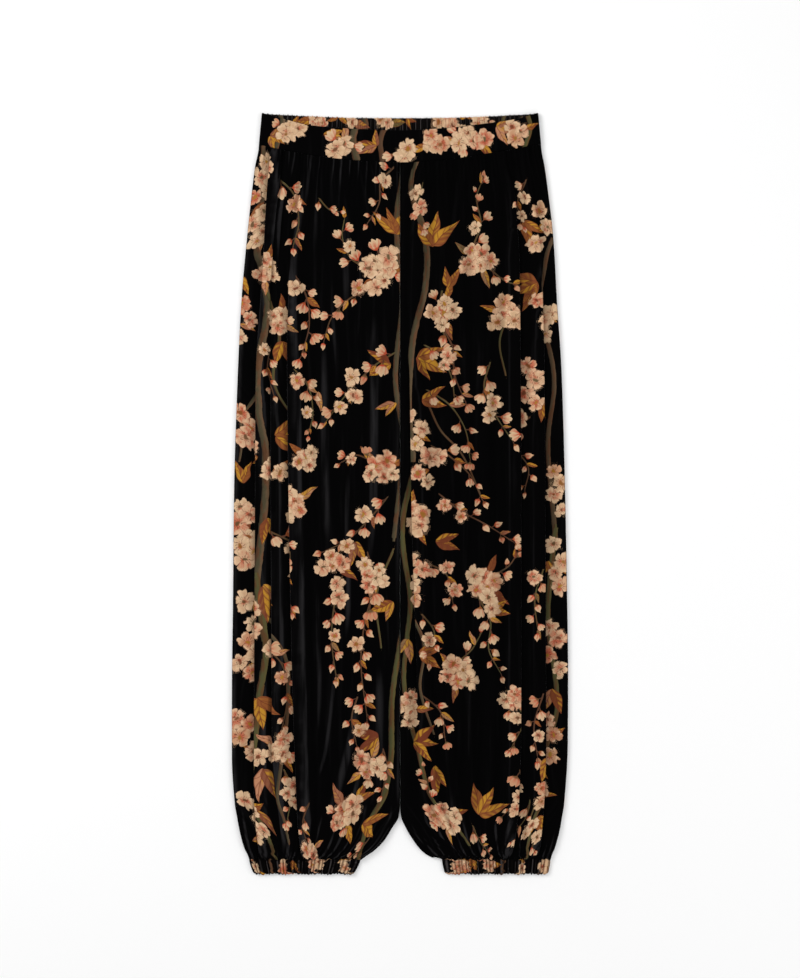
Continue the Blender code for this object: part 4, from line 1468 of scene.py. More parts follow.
class Level:
    """The front's height along one row of a leg, away from its folds."""

    def __init__(self, leg: Leg, y: float) -> None:
        """Read the leg's tables at the row's level.

        Args:
            leg: The leg.
            y: The level.
        """
        self.leg, self.y = leg, y
        self.outer, self.inner = leg.outer(y), leg.inner(y)
        self.open_leg = float(soft_step((CROTCH_TOP_Y - y) / (CROTCH_TOP_Y - CROTCH_FOOT_Y)))
        waist = float(soft_step(1.0 - (SEAM_Y - y) / WAIST_RISE_REACH))
        ankle = float(soft_step(1.0 - (y - BLOUSE_Y) / BLOUSE_REACH))
        droop = float(soft_step((y - CUFF_TOP_Y) / DROOP_REACH))
        rest = REST_LEVEL + (WAIST_LEVEL - REST_LEVEL) * waist
        self.rest = rest + (ANKLE_LEVEL + BLOUSE * droop - rest) * ankle
        self.ridges = []
        for ridge in leg.ridges:
            height = down_the_leg(ridge.path, y, 2)
            if height > 0.0:
                self.ridges.append((down_the_leg(ridge.path, y, 1), height, ridge.half_width))
        self.gathers = (
            Gathers(SEAM_Y, 1, 2.0, 135.0, 181.0, leg.turn),
            Gathers(CUFF_TOP_Y, -1, 2.9, 105.0, 136.0, leg.turn + 4),
        )

    def at(self, place: np.ndarray) -> np.ndarray:
        """The height at each place, without the gathers.

        Args:
            place: The places across the leg.

        Returns:
            The heights.
        """
        lift = np.zeros_like(place)
        for middle, height, half in self.ridges:
            gap = np.abs(place - middle) / half
            lift = np.maximum(lift, height * hump(gap))
        level = self.rest + lift
        side = soft_step(1.0 - (self.outer - place) / EDGE_REACH)
        middle = self.open_leg * soft_step(1.0 - (place - self.inner) / EDGE_REACH)
        level = level + (max(EDGE_LEVEL, self.rest) - level) * np.maximum(side, middle)
        seam = (1.0 - self.open_leg) * (1.0 - soft_step((place - self.inner) / CENTRE_SEAM_REACH))
        return level - CENTRE_SEAM_DIP * seam

    def gather(self, place: np.ndarray) -> np.ndarray:
        """How far the gathers at the waist and the ankle raise each place."""
        width = self.outer - self.inner
        share = (place - self.inner) / width
        calm = soft_step((place - self.inner) / 5.0) * soft_step((self.outer - place) / 5.0)
        return sum(row.lift(share, width, self.y) for row in self.gathers) * calm


class PlacedFold:
    """A knife fold at one level: its points, and what it does to the cloth beside it."""

    def __init__(self, level: Level, fold: Fold) -> None:
        """Shape the fold from its strength at the row's level."""
        self.fold = fold
        self.edge = down_the_leg(fold.path, level.y, 1)
        self.shape = self.turn_over(down_the_leg(fold.path, level.y, 2))
        self.low = float(level.at(np.array([self.edge]))[0])
        self.points = self.shape

    def turn_over(self, strength: float) -> np.ndarray:
        """Bend the cloth over and back.

        Args:
            strength: How strong the fold is here.

        Returns:
            Points of (place, height above the low layer), from the side seam inwards.
        """
        turn = math.pi * clamp(strength / TURNED_OVER)
        overlap = max(FOLD_DEPTH * clamp((strength - TURNED_OVER) / (1.0 - TURNED_OVER)), LEAST_OVERLAP)
        headings = [turn * (2 * i + 1) / (2 * CHORDS) for i in range(CHORDS)]
        chord = LAYER_STEP * 1.5 / CHORDS
        steps = [(chord, heading) for heading in headings]
        steps += [(overlap / OVERLAP_STEPS, turn)] * OVERLAP_STEPS
        steps += [(chord, heading) for heading in headings[::-1]]
        moves = np.array([(length * math.cos(angle), length * math.sin(angle)) for length, angle in steps])
        points = np.vstack(((0.0, 0.0), np.cumsum(moves, axis=0)))
        run, rise = points[-1]
        points = np.vstack((points, (points[:, 0].max() + SHOULDER, rise)))
        shape = np.stack((self.edge - LAYER_STEP / 2 + run - points[:, 0], points[:, 1]), axis=1)
        if self.fold.facing < 0:
            shape = np.stack((2 * self.edge - shape[:, 0], shape[:, 1]), axis=1)[::-1]
        return shape

    def settle(self, others: list["PlacedFold"]) -> None:
        """Stand on what the neighbouring folds have raised, and place the points."""
        at = np.array([self.edge])
        self.low += max(float(other.lift(at)[0]) for other in others)
        self.points = self.shape + (0.0, self.low)

    def lift(self, place: np.ndarray) -> np.ndarray:
        """How far the fold raises the cloth on its upper side, falling away from its edge."""
        shoulder, rise = self.shape[-1] if self.fold.facing > 0 else self.shape[0]
        past = (shoulder - place) * self.fold.facing
        return np.where(past < -UNDER_MARGIN, 0.0, rise * (1.0 - soft_step(past / FOLD_RAMP)))

    def covers(self, place: np.ndarray) -> np.ndarray:
        """True under the fold's upper layers, where the cloth stays low."""
        hidden = self.shape[0][0] if self.fold.facing > 0 else self.shape[-1][0]
        past_hidden = (place - hidden) * self.fold.facing
        past_edge = (place - self.edge) * self.fold.facing
        return (past_hidden >= 0.0) & (past_edge < 2 * UNDER_MARGIN)


class LegCloth:
    """A leg's front and back panels."""

    def __init__(self, leg: Leg, finish: bpy.types.Material) -> None:
        """Take the leg's tables and its material."""
        self.leg, self.finish = leg, finish

    @staticmethod
    def levels() -> np.ndarray:
        """The rows' levels from the waist seam down, closer together near both gathered seams."""
        return np.concatenate(
            (
                np.linspace(SEAM_Y, 400.0, 18, endpoint=False),
                np.linspace(400.0, -380.0, 176, endpoint=False),
                np.linspace(-380.0, LEG_FOOT_Y, 58),
            )
        )

    def inner_turn(self, seam: float, level: float, y: float) -> np.ndarray:
        """The inner edge: flat to the middle line above the crotch, turned to the inside seam below it.

        Args:
            seam: The side seam's height.
            level: The height of the cloth beside the edge.
            y: The level along the leg.

        Returns:
            The edge's points.
        """
        edge = self.leg.inner(y) + HALF_GAP
        curved = quarter_turn(-edge, seam, level, VELVET)[::-1] * (-1.0, 1.0)
        if y < CROTCH_TOP_Y:
            return curved
        places = np.linspace(curved[0][0], edge, CHORDS + 1)
        return np.stack((places, np.full_like(places, level)), axis=1)

    def front_row(self, y: float) -> np.ndarray:
        """The centre line of the front at one level, from the side seam inwards.

        Args:
            y: The level.

        Returns:
            The line's points.
        """
        leg = self.leg
        level = Level(leg, y)
        seam = SIDE_SEAM_LEVEL + HALF_GAP
        side_height = float(level.at(np.array([level.outer]))[0])
        inner_height = float(level.at(np.array([level.inner + HALF_GAP]))[0])
        row = [quarter_turn(level.outer, seam, side_height, VELVET)]
        placed = [PlacedFold(level, fold) for fold in leg.folds]
        for one in placed:
            one.settle([other for other in placed if other is not one])
        stops = [(one.fold.plain_columns, one.points) for one in placed]
        stops.append((leg.plain_columns, self.inner_turn(seam, inner_height, y)))
        for count, points in stops:
            places = np.linspace(row[-1][-1][0], points[0][0], count + 2)[1:-1]
            lift = np.max([one.lift(places) for one in placed], axis=0)
            heights = level.at(places) + lift + level.gather(places)
            for one in placed:
                heights = np.where(one.covers(places), one.low, heights)
            row += [np.stack((places, heights), axis=1), points]
        return np.vstack(row)

    def back_row(self, y: float) -> np.ndarray:
        """The centre line of the back at one level, flat on the surface but for its creases.

        Args:
            y: The level.

        Returns:
            The line's points.
        """
        leg = self.leg
        seam = SIDE_SEAM_LEVEL - HALF_GAP
        outer, inner = leg.outer(y), leg.inner(y)
        start = quarter_turn(outer, seam, BACK_LEVEL, VELVET)
        end = self.inner_turn(seam, BACK_LEVEL, y)
        places = np.linspace(start[-1][0], end[0][0], 112)[1:-1]
        lift = np.zeros_like(places)
        for ridge in leg.back_ridges:
            height = down_the_leg(ridge.path, y, 2)
            gap = np.abs(places - down_the_leg(ridge.path, y, 1)) / ridge.half_width
            lift = np.maximum(lift, height * hump(gap))
        width = outer - inner
        share = (places - inner) / width
        calm = soft_step((places - inner) / 12.0) * soft_step((outer - places) / 12.0)
        for rows in (
            Gathers(BAND_FOOT_Y, 1, 0.85, 60.0, 181.0, leg.turn + 3),
            Gathers(CUFF_TOP_Y, -1, 0.85, 60.0, 136.0, leg.turn + 7),
        ):
            lift = np.maximum(lift, rows.lift(share, width, y))
        middle = np.stack((places, BACK_LEVEL + lift * calm), axis=1)
        return np.vstack((start, middle, end))

    def spread(self, rows: list[np.ndarray], levels: np.ndarray) -> np.ndarray:
        """Measure each row along its cloth, with what the gathers take up, so that flat cloth keeps its x.

        Args:
            rows: The centre lines, points of (place, height).
            levels: Each row's level.

        Returns:
            Each point's place across the cloth.
        """
        across = []
        for row, y in zip(rows, levels):
            run = np.concatenate(([0.0], np.cumsum(np.hypot(*np.diff(row, axis=0).T))))
            axis = int(np.argmin(np.abs(row[:, 0] - 100.0)))
            waist = WAIST_GATHERING * soft_step(1.0 - (SEAM_Y - y) / WAIST_GATHERING_REACH)
            ankle = ANKLE_GATHERING * soft_step(1.0 - (y - CUFF_TOP_Y) / ANKLE_GATHERING_REACH)
            taken_up = 1.0 + waist + ankle
            across.append(self.leg.side * (row[axis, 0] + (run[axis] - run) * taken_up))
        return np.array(across)

    def faces(self, rows: list[np.ndarray], levels: np.ndarray, headings: Callable, dip: Callable) -> tuple:
        """Give the rows their wall and their place in the garment.

        Args:
            rows: The centre lines.
            levels: Each row's level.
            headings: What gives the headings at a row's two ends.
            dip: What gives y from a row's level and the places along it.

        Returns:
            The upper face's points and the lower face's, by rows.
        """
        grids: tuple[list, list] = ([], [])
        for row, y in zip(rows, levels):
            for grid, face in zip(grids, both_sides(row, VELVET, *headings(y))):
                x = self.leg.side * face[:, 0]
                height = np.maximum(face[:, 1], 0.0)
                grid.append(np.stack((x, dip(y, x), height), axis=1))
        return np.array(grids[0]), np.array(grids[1])

    def tucked(self, levels: np.ndarray) -> np.ndarray:
        """How far each row's crest value is lowered: a painted shadow along the ankle seam, and painted sheen
        dimmed with painted shade deepened above the ankle and near the waist.
        """
        below_waist = self.leg.quiet * soft_step((levels - QUIET_FROM_Y) / QUIET_REACH)
        near_waist = WAIST_QUIET * soft_step((levels - WAIST_QUIET_Y) / WAIST_QUIET_REACH)
        sheen_dimming = below_waist + near_waist
        return 0.12 * soft_step(1.0 - (levels - LEG_FOOT_Y) / 4.0) + sheen_dimming

    def front(self) -> bpy.types.Object:
        """Build the front panel, whose top dips with the band."""
        levels = self.levels()
        rows = [self.front_row(y) for y in levels]

        def dip(y: float, x: np.ndarray) -> np.ndarray:
            """The band's dip, less and less down the leg."""
            share = clamp(1.0 - (SEAM_Y - y) / DIP_REACH)
            seam = np.full_like(x, SEAM_Y)
            if share > 0.0:
                seam = np.array([FrontBand.line(place, 2) for place in x])
            return y + (seam - SEAM_Y) * share - (SEAM_GAP if y == SEAM_Y else 0.0) + seam_wave(x, y)

        upper, lower = self.faces(rows, levels, lambda y: (UP, DOWN if y < CROTCH_TOP_Y else 0.0), dip)
        name = "front_panel_" + self.leg.name
        piece = Piece(name, upper, lower, self.spread(rows, levels), tucked=self.tucked(levels))
        plan = LEFT_FRONT_PRINT if self.leg.side < 0 else RIGHT_FRONT_PRINT
        thing = piece.make({0: plan}, 11 + self.leg.side, self.finish)
        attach(thing, "root")
        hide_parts("leg_front_" + self.leg.name)
        return thing

    def back(self) -> bpy.types.Object:
        """Build the back panel, which lies on the surface."""
        levels = self.levels()
        levels = np.concatenate(([BAND_FOOT_Y - SEAM_GAP], levels[1:]))[::2]
        levels[-1] = LEG_FOOT_Y
        rows = [self.back_row(y) for y in levels]
        upper, lower = self.faces(
            rows, levels, lambda y: (DOWN, UP if y < CROTCH_TOP_Y else 0.0), lambda y, x: y + seam_wave(x, y)
        )
        name = "back_panel_" + self.leg.name
        piece = Piece(name, upper, lower, self.spread(rows, levels))
        plan = mirrored(RIGHT_FRONT_PRINT if self.leg.side < 0 else LEFT_FRONT_PRINT)
        thing = piece.make({1: plan}, 31 + self.leg.side, self.finish)
        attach(thing, "root")
        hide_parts("leg_back_" + self.leg.name)
        return thing


def mirrored(plan: Sequence) -> list:
    """The same plan on the other side of the middle line.

    Args:
        plan: The motifs.

    Returns:
        The turned motifs.
    """
    result = []
    for motif in plan:
        if isinstance(motif, (Branch, Garland, Spray)):
            values = {**motif.__dict__, "points": tuple((-x, y) for x, y in motif.points)}
        elif isinstance(motif, Leaves):
            headings = tuple(180 - turn for turn in motif.headings)
            values = {**motif.__dict__, "x": -motif.x, "headings": headings}
        else:
            values = {**motif.__dict__, "x": -motif.x}
        result.append(type(motif)(**values))
    return result


# --------------------------------------------------------------------------------------------- the bands


def hidden_in_troughs(steps: np.ndarray, climb: np.ndarray, takes: float) -> np.ndarray:
    """Measure along gathered cloth, with more of it between points where a trough takes it in.

    Args:
        steps: The length from each point to the next.
        climb: How far up its gather each point is.
        takes: How many times more cloth there is beside a trough's lowest point.

    Returns:
        Each point's place along the cloth.
    """
    lowest = np.minimum(climb[:-1], climb[1:]) <= 0.0
    gathered = np.maximum(climb[:-1], climb[1:]) > 0.0
    return np.concatenate(([0.0], np.cumsum(steps * np.where(lowest & gathered, takes, 1.0))))


def waist_half(y: float) -> float:
    """Half the waistband's width at a level."""
    part = clamp((y - BAND_FOOT_Y) / (TOP_Y - BAND_FOOT_Y))
    return WAIST_HALF_FOOT + (WAIST_HALF_TOP - WAIST_HALF_FOOT) * part


def band_row(half: float, seam: float, level: float, columns: int) -> np.ndarray:
    """The centre line of a waistband from the right side seam to the left one.

    Args:
        half: Half the band's width.
        seam: The side seams' height.
        level: The band's height between them.
        columns: How many points between the turned ends.

    Returns:
        Points of (x, height).
    """
    right = quarter_turn(half, seam, level, BAND_CLOTH)
    left = right[::-1] * (-1.0, 1.0)
    places = np.linspace(right[-1][0], left[0][0], columns + 2)[1:-1]
    return np.vstack((right, np.stack((places, np.full_like(places, level)), axis=1), left))


def band_parts(length: float, radius: float, inside: int) -> tuple[np.ndarray, np.ndarray]:
    """Rows from a band's seam to its upper edge, closer together where the edges round over.

    Args:
        length: The band's height.
        radius: How far in the edges start to round.
        inside: How many rows between the rounded edges.

    Returns:
        The rows' places from 0 to 1, and how thick the band is at each, as a share.
    """
    turn = np.linspace(0.12, 1.0, 5) * math.pi / 2
    depth = radius * (1 - np.cos(turn))
    share = np.sin(turn)
    first = (depth - depth[0]) / length
    parts = np.concatenate((first, np.linspace(first[-1], 1 - first[-1], inside + 2)[1:-1], 1 - first[::-1]))
    thick = np.concatenate((share, np.ones(inside), share[::-1]))
    return parts, thick


@dataclass
class FrontBand:
    """The smooth, doubled front waistband, which dips in the middle."""

    finish: bpy.types.Material
    seam_level: float = 2.9
    level: float = 4.95
    columns: int = 230
    rounding: float = 1.3
    profile: tuple = (
        (-181.0, 489.0, 447.8),
        (-158.0, 484.0, 443.2),
        (-116.0, 473.5, 435.2),
        (-60.0, 469.0, 428.6),
        (0.0, 467.0, 425.7),
        (60.0, 470.0, 429.3),
        (105.0, 475.0, 436.0),
        (150.0, 481.5, 443.4),
        (181.0, 489.0, 448.4),
    )
    creases: tuple = (
        (-152.0, 0.22, 9.0), (-117.0, 0.3, 12.0), (-71.0, 0.18, 8.0), (-34.0, 0.26, 14.0), (8.0, 0.15, 7.0),
        (39.0, 0.28, 11.0), (83.0, 0.2, 9.0), (121.0, 0.3, 13.0), (158.0, 0.18, 8.0),
    )

    @classmethod
    def line(cls, x: float, column: int) -> float:
        """The band's upper edge (1) or its seam (2) at a place across the waist."""
        table = cls.profile
        return through([row[0] for row in table], [row[column] for row in table], float(x))

    def make(self) -> bpy.types.Object:
        """Build the band."""
        parts, thick = band_parts(41.0, self.rounding, 14)
        grids: tuple[list, list] = ([], [])
        across = []
        for part, share in zip(parts, thick):
            y_side = BAND_FOOT_Y + (TOP_Y - 1.0 - BAND_FOOT_Y) * part
            row = band_row(waist_half(y_side), self.seam_level + HALF_GAP, self.level, self.columns)
            for place, depth, half in self.creases:
                gap = np.minimum(np.abs(row[:, 0] - place) / half, 1.0)
                grown = 0.3 + 0.7 * math.sin(math.pi * part)
                row[:, 1] += depth * (0.5 + 0.5 * np.cos(np.pi * gap)) * grown
            for grid, face in zip(grids, both_sides(row, BAND_CLOTH * share, UP, DOWN)):
                x = face[:, 0]
                seam = np.array([self.line(place, 2) for place in x])
                top = np.array([self.line(place, 1) for place in x])
                grid.append(np.stack((x, seam + (top - seam) * part, face[:, 1]), axis=1))
            across.append(row[:, 0])
        upper, lower = np.array(grids[0]), np.array(grids[1])
        piece = Piece("front_waistband", upper, lower, np.array(across))
        thing = piece.make({0: BAND_FRONT_PRINT}, 51, self.finish)
        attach(thing, "root")
        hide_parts("waistband_front")
        return thing


@dataclass
class BackBand:
    """The elasticated back waistband: fine ruches with a scalloped upper edge, flat below."""

    finish: bpy.types.Material
    seam_level: float = 2.9
    rounding: float = 1.1
    ruche_steps: tuple = (3.1, 2.5, 3.6, 2.8, 2.4, 3.3, 2.9, 3.8, 2.6)
    ruche_heights: tuple = (1.0, 0.55, 0.8, 0.4, 0.9, 0.65, 0.35, 0.75, 0.5, 0.95, 0.6)
    height: float = 1.15
    scallop: float = 1.5
    points_each: int = 6
    dip: tuple = ((0.0, 6.0), (60.0, 5.6), (102.0, 4.2), (150.0, 1.9), (181.0, 0.4))

    def columns(self, half: float) -> tuple[np.ndarray, np.ndarray, np.ndarray]:
        """Spread the ruches across the band.

        Args:
            half: Half the width that they fill.

        Returns:
            Each column's place, how far up its ruche it is, and its ruche's size.
        """
        steps, sizes, index = [], [], 0
        while sum(steps) < 2 * WAIST_HALF_FOOT:
            steps.append(self.ruche_steps[index % len(self.ruche_steps)])
            sizes.append(self.ruche_heights[index % len(self.ruche_heights)])
            index += 1
        stretch = 2 * half / sum(steps)
        places, climbs, own = [], [], []
        at = half
        for step, size in zip(steps, sizes):
            for number in range(self.points_each):
                part = number / self.points_each
                places.append(at - step * stretch * part)
                climbs.append(math.sin(math.pi * part) ** 1.4)
                own.append(size)
            at -= step * stretch
        return np.array(places), np.array(climbs), np.array(own)

    def make(self) -> bpy.types.Object:
        """Build the band."""
        parts, thick = band_parts(41.0, self.rounding, 11)
        centre = BAND_CLOTH / 2
        upper, lower, across = [], [], []
        for part, share in zip(parts, thick):
            y_side = BAND_FOOT_Y + (TOP_Y - BAND_FOOT_Y) * part
            right = quarter_turn(waist_half(y_side), self.seam_level - HALF_GAP, centre, BAND_CLOTH)
            places, climbs, own = self.columns(float(right[-1][0]) - 0.4)
            middle = np.stack((places, np.full_like(places, centre)), axis=1)
            left = right[::-1] * (-1.0, 1.0)
            row = np.vstack((right, middle, left))
            top, bottom = both_sides(row, BAND_CLOTH * share, DOWN, UP)
            lift = np.zeros(len(row))
            lift[len(right) : -len(left)] = self.height * climbs * own
            held = 0.35 + 0.65 * math.sin(math.pi * clamp(part * 0.9 + 0.05)) ** 0.6
            edge = clamp((part - 0.8) / 0.2) ** 2
            scallop = np.zeros(len(row))
            scallop[len(right) : -len(left)] = self.scallop * (1.0 - climbs * own) * edge
            stops, depths = zip(*self.dip)
            y = y_side - scallop - part * np.array([through(stops, depths, abs(x)) for x in row[:, 0]])
            upper.append(np.stack((top[:, 0], y, top[:, 1] + lift * held), axis=1))
            trough = np.minimum(lift * 0.35, 0.4)
            lower.append(np.stack((bottom[:, 0], y, np.maximum(bottom[:, 1], 0.0) + trough * held), axis=1))
            run = hidden_in_troughs(np.hypot(np.diff(row[:, 0]), np.diff(lift)), lift, 1.5)
            across.append(run[-1] / 2 - run)
        # A negative shade shift lightens the painted trough shade and brightens the painted sheen all over
        # the back band.
        piece = Piece("back_waistband", np.array(upper), np.array(lower), np.array(across), tucked=-0.3)
        thing = piece.make({0: BAND_BACK_PRINT, 1: mirrored(BAND_BACK_PRINT)}, 61, self.finish)
        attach(thing, "root")
        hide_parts("waistband_back")
        return thing


@dataclass
class Cuff:
    """A gathered hem cuff: one tube pressed flat, with uneven gathers and a softly scalloped hem."""

    leg: Leg
    finish: bpy.types.Material
    outer: tuple
    inner: tuple
    cavity: float = 0.6
    steps: tuple = (5.1, 3.3, 7.2, 4.3, 2.9, 6.2, 3.7, 5.6)
    heights: tuple = (1.0, 0.5, 0.82, 0.35, 0.9, 0.6, 0.42, 0.76, 0.55)
    height: float = 2.3
    scallop: float = 1.9
    points_each: int = 7
    turned: int = 8
    rows: tuple = (
        (0.0, 0.55), (0.04, 0.72), (0.1, 0.9), (0.2, 1.0), (0.35, 0.92), (0.5, 0.98), (0.65, 0.9), (0.8, 1.0),
        (0.9, 0.85), (0.96, 0.6), (1.0, 0.3),
    )

    def ring(self, part: float, plump: float) -> tuple[np.ndarray, np.ndarray, np.ndarray]:
        """Draw the tube's outer and inner outline at one level.

        Args:
            part: How far down the cuff the level is, from 0 to 1.
            plump: How far the gathers stand out here.

        Returns:
            The outer outline, the inner one, and how far up its gather each point is.
        """
        middle = CUFF_CLOTH + self.cavity / 2
        narrowed = part**1.5
        start = self.outer[0] + (self.outer[1] - self.outer[0]) * narrowed - middle
        stop = self.inner[0] + (self.inner[1] - self.inner[0]) * narrowed + middle
        steps, sizes, index = [], [], self.leg.turn
        while sum(steps) < self.outer[0] - self.inner[0]:
            steps.append(self.steps[index % len(self.steps)])
            sizes.append(self.heights[index % len(self.heights)])
            index += 1
        stretch = (start - stop) / sum(steps)
        places, climbs = [], []
        at = start
        for step, size in zip(steps, sizes):
            for number in range(self.points_each):
                rise = number / self.points_each
                places.append(at - step * stretch * rise)
                climbs.append(size * math.sin(math.pi * rise) ** 1.8)
            at -= step * stretch
        places, climbs = np.array(places), np.array(climbs)
        turn = np.radians(np.linspace(-90.0, 90.0, self.turned + 1))
        slim = self.cavity / 2
        near = np.stack((start + middle * np.cos(turn), middle + middle * np.sin(turn)), axis=1)
        far = np.stack((stop - middle * np.cos(turn), middle - middle * np.sin(turn)), axis=1)
        near_in = np.stack((start + slim * np.cos(turn), middle + slim * np.sin(turn)), axis=1)
        far_in = np.stack((stop - slim * np.cos(turn), middle - slim * np.sin(turn)), axis=1)
        top = np.stack((places[1:], 2 * middle + self.height * plump * climbs[1:]), axis=1)
        under = np.stack((places[:0:-1], np.minimum(0.45, 0.6 * plump * climbs[:0:-1])), axis=1)
        top_in = np.stack((places[1:], np.full(len(places) - 1, middle + slim)), axis=1)
        under_in = np.stack((places[:0:-1], np.full(len(places) - 1, middle - slim)), axis=1)
        flat = np.zeros(self.turned + 1)
        climb = np.concatenate((flat, climbs[1:], flat, climbs[:0:-1]))
        return np.vstack((near, top, far, under)), np.vstack((near_in, top_in, far_in, under_in)), climb

    def make(self) -> bpy.types.Object:
        """Build the cuff."""
        upper, lower, across = [], [], []
        for part, plump in self.rows:
            outer, inner, climb = self.ring(part, plump)
            base = CUFF_TOP_Y + (HEM_Y + self.scallop + 0.5 - CUFF_TOP_Y) * part
            drop = self.scallop * climb * clamp((part - 0.6) / 0.4)
            tuck = 0.9 * clamp((part - 0.9) / 0.1) + 0.5 * clamp((0.04 - part) / 0.04)
            wall = outer + (inner - outer) * (0.35 * tuck)
            for grid, ring in ((upper, wall), (lower, inner)):
                x = self.leg.side * ring[:, 0]
                wander = seam_wave(x, base) + 0.5 * part * np.sin(x * 0.23 + 1.0)
                grid.append(np.stack((x, base - drop + wander, np.maximum(ring[:, 1], 0.0)), axis=1))
            run = hidden_in_troughs(np.hypot(*np.diff(outer, axis=0).T), climb, 2.2)
            across.append(self.leg.side * (self.outer[0] - run))
        name = "hem_cuff_" + self.leg.name
        # Painted shadow along the ankle seam: the cuff's top rows get a small shade shift.
        tucked = np.array([0.12 * clamp(1.0 - part / 0.2) for part, _ in self.rows])
        piece = Piece(name, np.array(upper), np.array(lower), np.array(across), ring=True, tucked=tucked)
        plan = LEFT_CUFF_PRINT if self.leg.side < 0 else RIGHT_CUFF_PRINT
        thing = piece.make({0: plan}, 71 + self.leg.side, self.finish)
        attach(thing, "root")
        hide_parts("cuff_" + self.leg.name)
        return thing


# --------------------------------------------------------------------------------------------- the tables

LEFT_LEG = Leg(
    name="left",
    side=-1,
    stations=(
        (449.0, 181.3, 0.0), (419.0, 186.5, 0.0), (388.0, 190.3, 0.0),
        (327.0, 196.8, 0.0), (250.0, 203.6, 0.0),
        (157.0, 208.3, 0.0), (3.0, 213.2, 0.0), (-136.0, 214.6, 0.0), (-265.0, 216.0, 0.0),
        (-337.0, 216.0, 0.0), (-399.0, 212.2, 0.0), (-414.0, 209.6, 1.4), (-429.5, 206.8, 10.3),
        (-445.0, 203.2, 20.0), (-456.0, 199.6, 30.5), (-464.0, 196.0, 41.5), (-469.0, 194.0, 50.5),
    ),
    folds=(
        Fold(1, 14, (
            (448.0, 164.0, 0.06), (441.0, 165.0, 0.14), (428.0, 167.0, 0.3), (380.0, 171.0, 0.95),
            (345.0, 173.0, 0.9), (300.0, 175.0, 0.3), (245.0, 178.0, 0.13), (190.0, 182.0, 0.13),
            (146.0, 184.5, 0.3), (112.0, 185.0, 0.8), (0.0, 185.5, 1.0), (-380.0, 187.0, 1.0),
            (-449.0, 182.0, 0.3), (-459.0, 180.0, 0.15), (-469.0, 177.0, 0.07),
        )),
        Fold(1, 8, (
            (448.0, 146.0, 0.06), (345.0, 156.0, 0.03), (190.0, 164.0, 0.04), (146.0, 165.0, 0.13),
            (112.0, 165.5, 0.3), (50.0, 165.5, 0.85), (-190.0, 164.5, 0.9), (-265.0, 164.0, 0.3),
            (-330.0, 163.0, 0.13), (-469.0, 150.0, 0.07),
        )),
        Fold(1, 11, (
            (448.0, 122.0, 0.06), (300.0, 140.0, 0.05), (245.0, 143.0, 0.3), (190.0, 144.5, 0.6),
            (112.0, 144.0, 1.0), (-190.0, 139.0, 1.0), (-400.0, 132.0, 0.8), (-449.0, 128.0, 0.3),
            (-459.0, 126.0, 0.15), (-469.0, 124.0, 0.07),
        )),
    ),
    ridges=(
        Ridge(((447.0, 74.0, 0.6), (380.0, 70.0, 1.7), (290.0, 69.0, 1.8), (190.0, 70.0, 0.0))),
        Ridge(((447.0, 105.0, 0.5), (360.0, 108.0, 1.2), (260.0, 112.0, 0.0))),
        Ridge(((230.0, 98.0, 0.0), (150.0, 97.0, 2.0), (0.0, 96.0, 2.4), (-95.0, 92.0, 0.0))),
        Ridge(((270.0, 33.0, 0.0), (180.0, 33.0, 2.2), (0.0, 34.0, 2.4), (-150.0, 45.0, 0.0))),
        Ridge(((-240.0, 52.0, 0.0), (-300.0, 60.0, 2.2), (-380.0, 80.0, 2.4), (-445.0, 98.0, 0.3))),
        Ridge(((-190.0, 26.0, 0.0), (-260.0, 26.0, 2.0), (-370.0, 28.0, 1.9), (-430.0, 48.0, 0.2))),
        Ridge(((360.0, 50.0, 0.0), (300.0, 51.0, 0.9), (230.0, 53.0, 0.8), (170.0, 54.0, 0.0)), 6.0),
        Ridge(((340.0, 88.0, 0.0), (250.0, 87.0, 1.0), (180.0, 84.0, 0.9), (90.0, 82.0, 0.0)), 7.0),
        Ridge(((210.0, 120.0, 0.0), (120.0, 117.0, 0.9), (20.0, 116.0, 0.7), (-60.0, 113.0, 0.0)), 7.0),
        Ridge(((60.0, 66.0, 0.0), (-20.0, 68.0, 1.2), (-130.0, 66.0, 1.3), (-220.0, 70.0, 0.0)), 9.0),
        Ridge(((-80.0, 108.0, 0.0), (-160.0, 106.0, 1.2), (-260.0, 104.0, 1.4), (-370.0, 108.0, 0.0)), 10.0),
        Ridge(((-90.0, 18.0, 0.0), (-150.0, 16.0, 0.9), (-230.0, 13.0, 0.8), (-280.0, 12.0, 0.0)), 6.0),
        Ridge(((-200.0, 82.0, 0.0), (-250.0, 86.0, 1.0), (-330.0, 96.0, 1.1), (-400.0, 112.0, 0.0)), 7.0),
        Ridge(((-300.0, 40.0, 0.0), (-360.0, 52.0, 1.2), (-420.0, 70.0, 1.3), (-455.0, 82.0, 0.2)), 8.0),
    ),
    back_ridges=(
        Ridge(((430.0, 60.0, 0.0), (340.0, 62.0, 0.5), (220.0, 66.0, 0.4), (150.0, 70.0, 0.0)), 8.0),
        Ridge(((300.0, 120.0, 0.0), (180.0, 124.0, 0.55), (20.0, 126.0, 0.5), (-90.0, 128.0, 0.0)), 9.0),
        Ridge(((90.0, 50.0, 0.0), (-40.0, 52.0, 0.5), (-190.0, 60.0, 0.55), (-280.0, 66.0, 0.0)), 10.0),
        Ridge(((-120.0, 150.0, 0.0), (-240.0, 146.0, 0.5), (-360.0, 140.0, 0.55), (-440.0, 132.0, 0.0)), 8.0),
        Ridge(((-250.0, 90.0, 0.0), (-340.0, 94.0, 0.6), (-420.0, 104.0, 0.5), (-455.0, 110.0, 0.0)), 9.0),
    ),
    plain_columns=84,
    turn=0,
)

